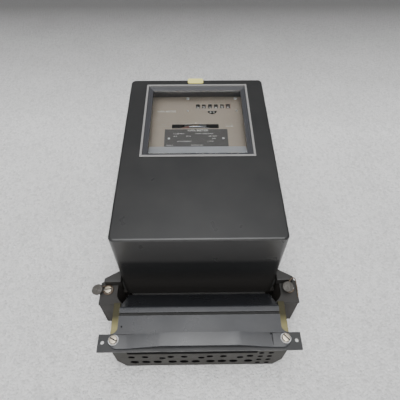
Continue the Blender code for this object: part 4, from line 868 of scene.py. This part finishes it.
def seal_wire(side_name):
    """The wire goes round most of the screw's head just above the ear, then out into the lead; on
    the right a loose end hangs over the ear's edge."""
    side = SIDES[side_name]
    centre = np.array((side * HOOD_SCREW[0], HOOD_SCREW[1], EAR_TOP_Z + 1.1 * MM))
    turn = np.radians(np.linspace(-160, 125, 46))
    loop_r = SCREW_HEAD_R + 0.85 * MM
    x, y, z = -side * np.cos(turn) * loop_r, np.sin(turn) * loop_r, 0.3 * MM * np.sin(turn)
    loop = centre + np.stack([x, y, z], -1)
    lead = np.array(LEADS[side_name][0]) * MM
    start, end = loop[-1], loop[0]
    tail = smooth_route([start, start + (lead - start) * 0.5 + (0, 0.8 * MM, 1.2 * MM), lead], 26)
    halfway = end + (lead - end) * 0.5 + (0, -1.5 * MM, 1.5 * MM)
    other = smooth_route([end, halfway, lead + (0, -1.5 * MM, 0)], 22)
    parts = [twisted(loop, 9), twisted(tail, 4), twisted(other, 4)]
    if side_name == "right":
        parts.append(twisted(smooth_route(np.array(LOOSE_WIRE) * MM, 60), 10))
    made = mesh_object(f"seal_wire_{side_name}_fine", *merged(parts), FINISH["seal_wire"], 60)
    settle(made, "hood_body", "seal_wire", f"seal_wire_{side_name}")


# Terminal block, rail and cover

BLOCK_FACE_Y = -77.4 * MM
BLOCK_TOP_Z = 52 * MM
BAND_X = (-73 * MM, 58 * MM)
PHASE_XS = [(-71.5 + 41 * k) * MM for k in range(3)]
NEUTRAL_X = 52.5 * MM
RIB_XS = [PHASE_XS[0] - 4.6 * MM, PHASE_XS[1] - 5 * MM, PHASE_XS[2] - 5 * MM]
RIB_XS += [NEUTRAL_X - 6.2 * MM, 59.5 * MM]
LOWER_BORES = [(x + step * MM, 15.5 * MM, 4.3 * MM) for x in PHASE_XS for step in (1, 13.5, 26)]
UPPER_BORES = [(x + step * MM, 34 * MM, 3.2 * MM) for x in PHASE_XS for step in (0, 14.2)]
UPPER_BORES += [(x + 32 * MM, 29.5 * MM, 3.2 * MM) for x in PHASE_XS]
MAIN_BORES = LOWER_BORES + UPPER_BORES + [(NEUTRAL_X, 15.5 * MM, 4.3 * MM), (NEUTRAL_X, 34 * MM, 3.2 * MM)]
SMALL_BORES = [(x * MM, z * MM, 2.5 * MM) for x in (63.6, 73.4) for z in (8, 20, 32, 44)]


def terminal_block():
    """The face's outline carried back, the narrower body and the heel joined on, and round bores."""
    brown = FINISH["block_brown"]
    right = np.array([(81.2, 0.4), (83.1, 6.1), (88.5, 20.5), (88.5, 52)]) * MM
    section = np.vstack([right, right[::-1] * (-1, 1)])
    made = mesh_object("terminal_block_fine", *prism(section, BLOCK_FACE_Y, -61.9 * MM, "Y"), brown)
    body = mesh_object("block_body", *millimetre_block((-80.5, -63, 2.3), (80.5, -36, 52)), brown)
    heel = mesh_object("block_heel", *millimetre_block((-80, -38, 2.3), (80, 8.5, 17)), brown)
    made = carved(made, [body, heel], union=True)
    band_high = (BAND_X[1], BLOCK_FACE_Y + 5 * MM, BLOCK_TOP_Z + MM)
    band = block((BAND_X[0], BLOCK_FACE_Y - MM, 45 * MM), band_high)
    cutters = [mesh_object("band", *band, brown)]
    bores = []
    for bore_list, depth in ((MAIN_BORES, 30 * MM), (SMALL_BORES, 20 * MM)):
        for x, z, radius in bore_list:
            mouth = [(radius + 1.4 * MM, -MM), (radius, 0.4 * MM), (radius, depth)]
            bores.append(turned(mouth, (x, BLOCK_FACE_Y, z), "Y", 28))
    # the bores' walls take the near-black finish as painted shade inside them
    cutters.append(mesh_object("bores", *merged(bores), FINISH["deep_black"]))
    made = carved(made, cutters)
    settle(rounded_edges(made, 0.5 * MM, 2, 50), "casing", "base_brown", "terminal_block")


# a dark pad laid in as painted shadow, in the rubber finish
def felt_pad(name, low, high):
    pad = mesh_object(name, *millimetre_block(low, high), FINISH["gasket_grey"])
    settle(rounded_edges(pad, 0.4 * MM), "casing", "gasket_grey")


def felts():
    """Dark pads as painted shadow: one in the slit between the cover's foot and the hood, and one in
    each side well.
    """
    felt_pad("heel_shadow", (-79.5, -3.1, 17.1), (79.5, 8.2, 19.1))
    for side_name, side in SIDES.items():
        low_x, high_x = sorted((88.4 * side, 98.5 * side))
        felt_pad(f"well_shadow_{side_name}", (low_x, 2, 2.4), (high_x, 34, 4.6))


def terminal_metal():
    """A brass sleeve deep in every main bore, clamp screws on the block's top, and ribs between phases."""
    sleeves = []
    for x, z, radius in MAIN_BORES:
        out, inside, near, far = radius - 0.1 * MM, radius - 1.0 * MM, 9 * MM, 27 * MM
        ring = [(out, near), (out, far), (inside, far), (inside, near + 0.3 * MM), (inside + 0.3 * MM, near)]
        sleeves.append(turned_ring(ring, (x, BLOCK_FACE_Y, z), "Y", 28))
    settle(mesh_object("terminal_sleeves", *merged(sleeves), FINISH["brass"]), "casing", "brass")
    rows = (("near", LOWER_BORES, -54 * MM, 3.4 * MM), ("far", UPPER_BORES, -43 * MM, 2.7 * MM))
    for row, bores, y, radius in rows:
        for k, (x, _, _) in enumerate(bores + [(NEUTRAL_X, 0, 0)]):
            made = slotted_head(
                f"clamp_screw_{row}_{k}", np.array((x, y)), BLOCK_TOP_Z - 0.6 * MM, radius, 2.6 * MM,
                0.9 * MM, 0.7 * math.sin(2.3 * k) + 0.4, 1.5 * MM, 45 * MM, FINISH["brass"],
            )
            settle(made, "casing", "brass")
    for k, x in enumerate(RIB_XS):
        rib = block((x - 0.7 * MM, -60 * MM, 51.6 * MM), (x + 0.7 * MM, -37 * MM, 58 * MM))
        made = mesh_object(f"terminal_rib_{k}", *rib, FINISH["base_brown"])
        settle(rounded_edges(made, 0.4 * MM), "casing", "base_brown")


def cover_rail():
    """The rail's plate and hanging lip, with round eyes and screw holes."""
    black = FINISH["rail_black"]
    plate = millimetre_block((-102.5, -79.2, 58), (102.5, -61.6, 60))
    made = mesh_object("cover_rail_fine", *plate, black)
    lip = block((BAND_X[0], -79.2 * MM, 51 * MM), (BAND_X[1], -77.7 * MM, 59 * MM))
    # the hanging lip takes the near-black finish as painted shade under the rail
    made = carved(made, [mesh_object("lip", *lip, FINISH["deep_black"])], union=True)
    holes = []
    for side in SIDES.values():
        holes.append(round_cutter((side * 98 * MM, -69.7 * MM, 0), 1.9 * MM, 55 * MM, 62 * MM, "rail_black"))
        holes.append(round_hole(side, COVER_SCREW, 55, 62, "rail_black"))
    settle(rounded_edges(carved(made, holes), 0.35 * MM, 3), "casing", "rail_black", "cover_rail")


COVER_HALF = 83.5 * MM
COVER_TOP_Z = 64 * MM
CREASE_Y = -63 * MM
LIP_HALF, LIP_CORNER_R, LIP_NEAR_Y = 91 * MM, 8 * MM, -76.9 * MM
LIP_LOW_Z, LIP_TOP_Z = 60.3 * MM, 62.8 * MM
RAMP_OUT_X, RAMP_IN_X = 73.5 * MM, 39 * MM
LIP_RAISE, LIP_FALL, LIP_SETBACK = 3.5 * MM, 0.7 * MM, 1.5 * MM


def cover_lip():
    """Sections across Y at stations along X: the near edge follows a quarter circle at both ends, and
    the height climbs from the tabs on two straight ramps to a middle that leans a little forward."""
    corner = LIP_HALF - LIP_CORNER_R * (1 - np.sin(np.radians(np.linspace(0, 90, 13))))
    right = np.concatenate([np.linspace(0, RAMP_IN_X, 8), np.linspace(RAMP_IN_X, RAMP_OUT_X, 14)[1:], corner])
    x = np.concatenate([-right[:0:-1], right])
    past = np.clip(np.abs(x) - (LIP_HALF - LIP_CORNER_R), 0, LIP_CORNER_R)
    share = np.clip((RAMP_OUT_X - np.abs(x)) / (RAMP_OUT_X - RAMP_IN_X), 0, 1)
    near = LIP_NEAR_Y + LIP_CORNER_R - np.sqrt(LIP_CORNER_R**2 - past**2) + LIP_SETBACK * share
    far = np.full_like(x, CREASE_Y + 0.5 * MM)
    far_top = LIP_TOP_Z + LIP_RAISE * share
    near_top = far_top - LIP_FALL * share
    thick = LIP_TOP_Z - LIP_LOW_Z
    nose = 0.7 * MM
    section = [
        (far, far_top),
        (near + nose, near_top),
        (near + 0.3 * nose, near_top - 0.3 * nose),
        (near, near_top - nose),
        (near, near_top - thick + 0.4 * nose),
        (near + 0.4 * nose, near_top - thick),
        (far, np.full_like(x, LIP_LOW_Z)),
    ]
    return loft(np.stack([np.stack([x, y, z], -1) for y, z in section], axis=1))


def terminal_cover():
    """A hollow ridge carried along X, with a groove, flared ends, a lip whose middle stands up, and
    one dark spot on its top."""
    black = FINISH["cover_black"]
    turn = np.radians(np.linspace(0, 54, 7))
    fillet = [(-36 + 2.6 * math.sin(a), 64 - 2.6 * (1 - math.cos(a))) for a in turn]
    outer = [(-63, 64), *fillet, (-3.5, 22), (-3.5, 17.8), (-61.3, 17.8), (-61.3, 60.3), (-63, 60.3)]
    inner = np.array([(-64, 61.5), (-35.2, 61.5), (-6.8, 21), (-6.8, 16.8), (-64, 16.8)]) * MM
    ridge = prism(np.array(outer) * MM, -COVER_HALF, COVER_HALF, "X")
    made = mesh_object("terminal_cover_fine", *ridge, black, 25)
    inside = COVER_HALF - 2.5 * MM
    made = carved(made, [mesh_object("inside", *prism(inner, -inside, inside, "X"), black)])
    joined = [mesh_object("lip", *cover_lip(), black)]
    for side in SIDES.values():
        turn = np.radians(np.linspace(180, 270, 13))
        x = LIP_HALF + LIP_CORNER_R * np.cos(turn)
        y = CREASE_Y + LIP_CORNER_R * (1 + np.sin(turn))
        wing = [(side * (COVER_HALF - MM), y[0]), *zip(side * x, y), (side * (COVER_HALF - MM), y[-1])]
        joined.append(mesh_object("flare", *prism(wing, COVER_TOP_Z - 2.5 * MM, COVER_TOP_Z), black))
    made = carved(made, joined, union=True)
    run = millimetre_block((-95, -44.1, 61.9), (95, -40.8, 66))
    # the groove's faces take the dark rubber finish as painted shade in the groove
    groove = mesh_object("groove", *run, FINISH["gasket_grey"])
    holes = [round_hole(side, COVER_SCREW, 55, 66, "cover_black") for side in SIDES.values()]
    made = carved(made, [groove, *holes])
    settle(rounded_edges(made, 0.3 * MM, 2, 28), "cover_body", "hood_black", "terminal_cover")
    edge = [(0.9 * MM, 0), (0.9 * MM, 0.05 * MM), (0.7 * MM, 0.08 * MM)]
    spot = turned(edge, (-79.5 * MM, -55.5 * MM, 64.01 * MM), "Z", 20)
    settle(mesh_object("cover_spot", *spot, FINISH["deep_black"]), "cover_body", "hood_black")


# Dial

DIAL_Z = 120 * MM
DRUM_XS = [(1 + 8.1 * k) * MM for k in range(6)]
DRUM_AXIS = np.array((219.8, 110.5)) * MM
PRINT_T = 0.06 * MM
READING = (0, 2, 5, 8, 3, 6)
DIAL_SCREWS = [("a", -12.3, 235.6, 2.2), ("b", 52.3, 235.6, 2.2)]
DIAL_SCREWS += [("c", -12.3, 210.3, 1.2), ("d", 52.3, 210.3, 1.2)]


def strip(x0, y0, x1, y1, z=DIAL_Z, thick=PRINT_T):
    return block((x0 * MM, y0 * MM, z + 0.01 * MM), (x1 * MM, y1 * MM, z + 0.01 * MM + thick))


def printed(name, parts, finish, slot="dial_taupe", body="casing"):
    points, faces = merged(parts)
    settle(mesh_object(name, points, faces, FINISH[finish]), body, slot)


def words(text, size, x, y, z=DIAL_Z, align="CENTER"):
    return lettering(text, size * MM, (x * MM, y * MM, z + 0.04 * MM), align=align)


def dial():
    """The face plate with its openings, and behind them a black strip as painted shadow over the drums
    and a dark disc with two white dots under the unit window."""
    plate = millimetre_block((-68, 90, 119), (68, 243, 120))
    made = mesh_object("dial_plate_fine", *plate, FINISH["dial_taupe"])
    outlines = [rounded_ring((-2.45 * MM, 180.7 * MM), (29.85 * MM, 3.7 * MM), 0.8 * MM, 0, 4)[:, :2]]
    for x in DRUM_XS:
        outlines.append(rounded_ring((x, DRUM_AXIS[0]), (2.45 * MM, 4 * MM), 0.5 * MM, 0, 3)[:, :2])
    turn = np.radians(np.linspace(180, 360, 25))
    outlines.append(np.stack([20 + 6.0 * np.cos(turn), 210.4 + 6.0 * np.sin(turn)], -1) * MM)
    openings = [prism(outline, 110 * MM, 130 * MM) for outline in outlines]
    # the openings' walls take drum black as painted shade in the openings
    made = carved(made, [mesh_object("openings", *merged(openings), FINISH["drum_black"])])
    settle(rounded_edges(made, 0.15 * MM, 2), "casing", "dial_taupe", "dial_plate")
    dot = [(1.25 * MM, 0), (1.25 * MM, 0.9 * MM), (1.0 * MM, 1.1 * MM)]
    dots = [turned(dot, (x * MM, 209.0 * MM, 118.3 * MM), "Z", 20) for x in (17.9, 22.1)]
    printed("unit_dots", dots, "print_white")
    back = turned([(6.6 * MM, 0), (6.6 * MM, 0.6 * MM)], (20 * MM, 208.6 * MM, 117.6 * MM), "Z", 36)
    printed("unit_disc", [back], "deep_black")
    # a black strip standing in for shadow over the drums behind the plate's far edge
    shade = millimetre_block((-2.6, 226.0, 116.1), (45.6, 226.6, 118.9))
    made = rounded_edges(mesh_object("register_painted_shadow", *shade, FINISH["drum_black"]), 0.1 * MM)
    settle(made, "casing", "drum_black")


def dial_print():
    """White and faint lettering, the frame round the last figure, and the register's screws."""
    white = [words("kWh METER", 4.6, -39.8, 209.6)]
    white += [strip(-2.5, 185.6, -1.3, 188.2), strip(36, 180.2, 44, 180.8)]
    head = np.array([(43.6, 181.6), (47, 180.5), (43.6, 179.4)]) * MM
    arrow = prism(head, DIAL_Z + 0.01 * MM, DIAL_Z + 0.07 * MM)
    printed("dial_print", white + [arrow], "print_white")
    faint = [strip(-51, 180.3, -35, 180.7)]
    faint += [words(str(10**k), 2.0, x / MM, 213.6) for k, x in zip(range(5, 0, -1), DRUM_XS)]
    faint += [words("600 r/kWh", 2.4, 40.5, 184.2), words("50 Hz", 2.4, -43, 184.2)]
    for x in (-47.5, -38.5):
        rim = [(1.9 * MM, 0.0), (1.9 * MM, PRINT_T), (2.2 * MM, PRINT_T), (2.2 * MM, 0.0)]
        faint.append(turned_ring(rim, (x * MM, 192 * MM, DIAL_Z + 0.01 * MM), "Z", 32))
    printed("dial_print_faint", faint, "print_faint")
    frame_x, frame_y = DRUM_XS[-1] / MM, DRUM_AXIS[0] / MM
    sides = [(-3.3, -4.9, 3.3, -4.4), (-3.3, 4.4, 3.3, 4.9), (-3.3, -4.4, -2.8, 4.4), (2.8, -4.4, 3.3, 4.4)]
    bars = [strip(frame_x + a, frame_y + b, frame_x + c, frame_y + d) for a, b, c, d in sides]
    printed("decimal_frame", bars, "mark_red")
    for name, x, y, radius in DIAL_SCREWS:
        # the register screws' white is a painted highlight on nickel
        made = slotted_head(
            f"register_screw_{name}", np.array((x, y)) * MM, DIAL_Z + 0.05 * MM, radius * MM, 1.3 * MM,
            0.5 * MM, 0.5, 0.8 * MM, 119.5 * MM, FINISH["nickel_painted_highlight"],
        )
        settle(made, "casing", "nickel")


def name_plate():
    """The dark rating plate with its rivets and rows of plain data."""
    top = 121 * MM
    refined("name_plate", FINISH["label_dark"], 0.15 * MM)
    printed("plate_heading", [words("kWh METER", 4.9, 0.8, 171.7, top)], "print_white", "label_dark")
    rows = [
        ("3 x 230/400 V", 2.4, -30, 165.9), ("4 WIRE THREE PHASE", 2.4, -3, 165.9),
        ("10 A", 2.4, -30, 161.4), ("50 Hz", 2.4, -14, 161.4), ("600 r/kWh", 2.4, 14, 161.4),
        ("kWh", 2.4, 18, 156.9), ("ACTIVE ENERGY", 2.4, -25, 152.2), ("1 2 3 N", 2.4, 12, 152.2),
        ("CLASS 2", 2.4, -38.5, 145.6), ("INDOOR USE", 2.4, -8, 145.6),
    ]
    texts = [words(text, size, x, y, top, "LEFT") for text, size, x, y in rows]
    printed("plate_text", texts, "print_white", "label_dark")
    for k, x in enumerate((-35.3, 32.0)):
        turn = np.radians(np.linspace(0, 84, 8))
        dome = [(1.5 * math.cos(a) * MM, 0.8 * math.sin(a) * MM) for a in turn]
        rivet = turned(dome, (x * MM, 157.5 * MM, top + 0.02 * MM), "Z", 28)
        # the rivets' white is a painted highlight on nickel
        settle(mesh_object(f"plate_rivet_{k}", *rivet, FINISH["nickel_painted_highlight"], 60), "casing", "nickel")


# Register and rotor

DRUM_R = 8 * MM


def wrapped_digit(text, x, turn):
    """A figure laid on the drum: its height runs round the rim, and the rim's angle adds the turn."""
    points, faces = lettering(text, 5.6 * MM, (0, 0, 0), thick=0.12 * MM)
    angle = points[:, 1] / DRUM_R - turn
    reach = DRUM_R + 0.03 * MM + points[:, 2]
    y = DRUM_AXIS[0] + reach * np.sin(angle)
    z = DRUM_AXIS[1] + reach * np.cos(angle)
    return np.stack([x + points[:, 0] * 0.95, y, z], axis=-1), faces


def drums():
    """Each drum's rim and toothed ring, and its ten figures at even turns of a tenth."""
    for k, x in enumerate(DRUM_XS):
        body = f"drum_{k + 1}_body"
        refined(f"digit_drum_{k + 1}", FINISH["drum_black"], 0.12 * MM, 2, 20)
        figures = [wrapped_digit(str(n), x, (n - READING[k]) * math.pi / 5 + 0.12) for n in range(10)]
        printed(f"drum_figures_{k + 1}", figures, "print_white", "drum_black", body)


DISCS = {"upper_disc": (180.7 * MM, 46 * MM), "lower_disc": (117 * MM, 43 * MM)}
SHAFT = np.array((-2.4, 74.5)) * MM


def rotor_disc(name):
    """A thin disc turned about the shaft with eased rims, bored at the shaft and twice further out."""
    y, radius = DISCS[name]
    half, ease = 0.6 * MM, 0.25 * MM
    rim = [(radius - ease, -half), (radius, ease - half), (radius, half - ease), (radius - ease, half)]
    profile = [(4 * MM, -half), *rim, (4 * MM, half)]
    centre = (SHAFT[0], y, SHAFT[1])
    made = mesh_object(f"{name}_fine", *turned(profile, centre, "Y", 160), FINISH["disc_aluminium"])
    holes = []
    for shift, size in ((0, 1.8), (-30, 1.5), (30, 1.5)):
        middle = (SHAFT[0] + shift * MM, y, SHAFT[1])
        holes.append(round_cutter(middle, size * MM, -MM, MM, "disc_aluminium", "Y"))
    settle(carved(made, holes), "rotor_body", "disc_aluminium", name)


def rotor_mark():
    """A red band over the upper disc's rim, beside the dial's white mark."""
    y, radius = DISCS["upper_disc"]
    half = 0.62 * MM
    inner, outer = radius - 4 * MM, radius + 0.02 * MM
    ends = [(inner, half), (outer, half), (outer, -half), (inner, -half)]
    rings = []
    for angle in np.radians(np.linspace(100, 113, 12)):
        x, z = math.cos(angle), math.sin(angle)
        rings.append([(SHAFT[0] + r * x, y + dy, SHAFT[1] + r * z) for r, dy in ends])
    settle(mesh_object("rotor_mark", *loft(rings), FINISH["mark_red"]), "rotor_body", "disc_aluminium")


# Measuring elements

ELEMENTS = {"1": ("upper_disc", -1), "2": ("upper_disc", 1), "3": ("lower_disc", 1)}
LIMB_MID = {"voltage": 66 * MM, "current": 78 * MM}
STACK_IN, STACK_OUT = 28 * MM, 42 * MM


def winding(number, kind, wire, pitch, layers, material):
    """A wire carried round a limb: a rounded rectangle in the plane across Y whose Y climbs evenly
    with the turn, one layer outside the other."""
    disc, side = ELEMENTS[number]
    middle = SHAFT[0] + side * (STACK_IN + STACK_OUT) / 2
    tip = DISCS[disc][0]
    low, high = (tip - 19.5 * MM, tip - 6.8 * MM) if kind == "current" else (tip + 5.7 * MM, tip + 21.2 * MM)
    parts = []
    for layer in range(layers):
        half = (7.6 * MM + wire * (1 + 2 * layer), 4.6 * MM + wire * (1 + 2 * layer))
        turns = int((high - low - 2 * wire) / pitch)
        ring = rounded_ring((0.0, 0.0), half, 2.2 * MM + layer * wire, 0, 4)[:, :2]
        path = np.tile(ring, (turns, 1))
        y = np.linspace(low + wire, high - wire, len(path))
        route = np.stack([middle + path[:, 0], y, LIMB_MID[kind] + path[:, 1]], axis=-1)
        parts.append(tube(route, wire, 8))
    made = mesh_object(f"{kind}_winding_{number}", *merged(parts), FINISH[material], 60)
    settle(made, "casing", "brass" if kind == "current" else "coil_wrap", f"{kind}_coil_{number}")


def measuring_elements():
    for number in ELEMENTS:
        refined(f"voltage_core_{number}", FINISH["lamination"], 0.3 * MM)
        refined(f"current_core_{number}", FINISH["lamination"], 0.3 * MM)
        refined(f"voltage_coil_{number}", FINISH["coil_wrap"], 0.5 * MM)
        winding(number, "current", 1.15 * MM, 2.4 * MM, 2, "copper")


EASED = {
    "base_tray": 0.8, "back_plate": 0.35, "hood_gasket": 0.3, "rail_bracket_left": 0.45,
    "rail_bracket_right": 0.45, "mechanism_frame": 0.6, "lower_bearing": 0.3, "upper_bearing": 0.3,
    "brake_magnet": 0.8,
    "rotor_shaft": 0.08, "register_frame": 0.25, "drum_shaft": 0.15, "carry_shaft": 0.15, "worm_wheel": 0.06,
    "idler_gear": 0.06,
}


def eased_pieces():
    """Flat and toothed pieces keep the model's shape and gain rounded edges."""
    for name, width in EASED.items():
        finish = "zinc_painted_shadow" if name.startswith("rail_bracket") else SLOT_OF[name]
        refined(name, FINISH[finish], width * MM)
    for number in range(1, 6):
        refined(f"carry_pinion_{number}", FINISH["nickel"], 0.06 * MM)


# Camera, light and floor

LENS = 34.2
EYE = Vector((-2.65, -188.2, 449.7)) * MM
EYE_TURN = (37.31, -0.18, -0.79)
GLOW_MIDDLE = (0.0, -0.25, 1.0)
GLOW_STRETCH = (2.6, 1.0, 1.0)
GLOW_EDGE = 0.35
GLOW_FALL = 2.65
GLOW = (8.7, 8.74, 8.8)
ROOM = (0.17, 0.17, 0.17)


def camera():
    """A lens above the meter's near end, tilted towards the dial."""
    lens = bpy.data.cameras.new("camera")
    lens.lens = LENS
    lens.sensor_width = 36.0
    lens.clip_start = 0.01
    holder = bpy.data.objects.new("camera", lens)
    holder.location = EYE
    holder.rotation_euler = [math.radians(turn) for turn in EYE_TURN]
    bpy.context.scene.collection.objects.link(holder)
    bpy.context.scene.camera = holder


def area_light(name, place, aim, size, power, colour):
    lamp = bpy.data.lights.new(name, "AREA")
    lamp.shape = "RECTANGLE"
    lamp.size, lamp.size_y = size
    lamp.energy = power
    lamp.color = colour
    holder = bpy.data.objects.new(name, lamp)
    holder.location = place
    holder.rotation_euler = (Vector(aim) - Vector(place)).to_track_quat("-Z", "Y").to_euler()
    bpy.context.scene.collection.objects.link(holder)


def sky():
    """A dark room under one broad ceiling light: the glow falls with the angle from its middle."""
    world = bpy.data.worlds.new("studio")
    bpy.context.scene.world = world
    world.use_nodes = True
    tree = world.node_tree
    ray = node(tree, "TexCoord").outputs["Generated"]
    narrowed = node(tree, "VectorMath", {0: ray, 1: GLOW_STRETCH}, operation="MULTIPLY").outputs[0]
    unit = node(tree, "VectorMath", {0: narrowed}, operation="NORMALIZE").outputs[0]
    middle = Vector(GLOW_MIDDLE).normalized()
    near = node(tree, "VectorMath", {0: unit, 1: middle}, operation="DOT_PRODUCT").outputs["Value"]
    share = maths(tree, "POWER", ramp(tree, near, GLOW_EDGE, 1.0), GLOW_FALL)
    glow = mix(tree, share, ROOM, GLOW)
    tree.links.new(glow, tree.nodes["Background"].inputs["Color"])
    tree.nodes["Background"].inputs["Strength"].default_value = 1.0


def floor():
    """Pale foam sheet: a grid whose height follows two sine waves, with fine beads in the finish, painted
    glints on a few of them and painted shade on its far part.
    """
    span, count = 1.6, 161
    axis = np.linspace(-span, span, count)
    x, y = np.meshgrid(axis, axis, indexing="ij")
    z = -0.15 * MM + 0.1 * MM * (np.sin(9 * x) * np.cos(7 * y) - 1)
    points = np.stack([x, y, z], axis=-1).reshape(-1, 3)
    index = np.arange(count * count).reshape(count, count)
    faces = np.stack([index[:-1, :-1], index[1:, :-1], index[1:, 1:], index[:-1, 1:]], axis=-1).reshape(-1, 4)
    foam = surface(
        "foam", (0.98, 0.975, 0.97), 0.75, other=(0.50, 0.495, 0.49), grain=420.0, bump=1.0,
        # painted shade: the floor darkens away from the meter
        patchy=0.28, beads=300.0, shade_along_y=(0.3, 0.75),
    )
    mesh = bpy.data.meshes.new("floor")
    mesh.from_pydata(points.tolist(), [], faces.tolist())
    wrap_mesh("floor", mesh, foam)


def studio():
    """Camera, sky, floor, and a weak warm fill from the near side."""
    camera()
    sky()
    area_light("fill", (0.0, -1.5, 0.9), (0, 0.0, 0.05), (1.2, 0.8), 2.5, (1.0, 0.97, 0.93))
    floor()


studio()
dress_nodes()
hood()
window()
marker_clip()
screws()
for seal_side in SIDES:
    lead_seal(seal_side)
    seal_wire(seal_side)
terminal_block()
terminal_metal()
felts()
cover_rail()
terminal_cover()
dial()
dial_print()
name_plate()
drums()
for disc in DISCS:
    rotor_disc(disc)
rotor_mark()
measuring_elements()
eased_pieces()
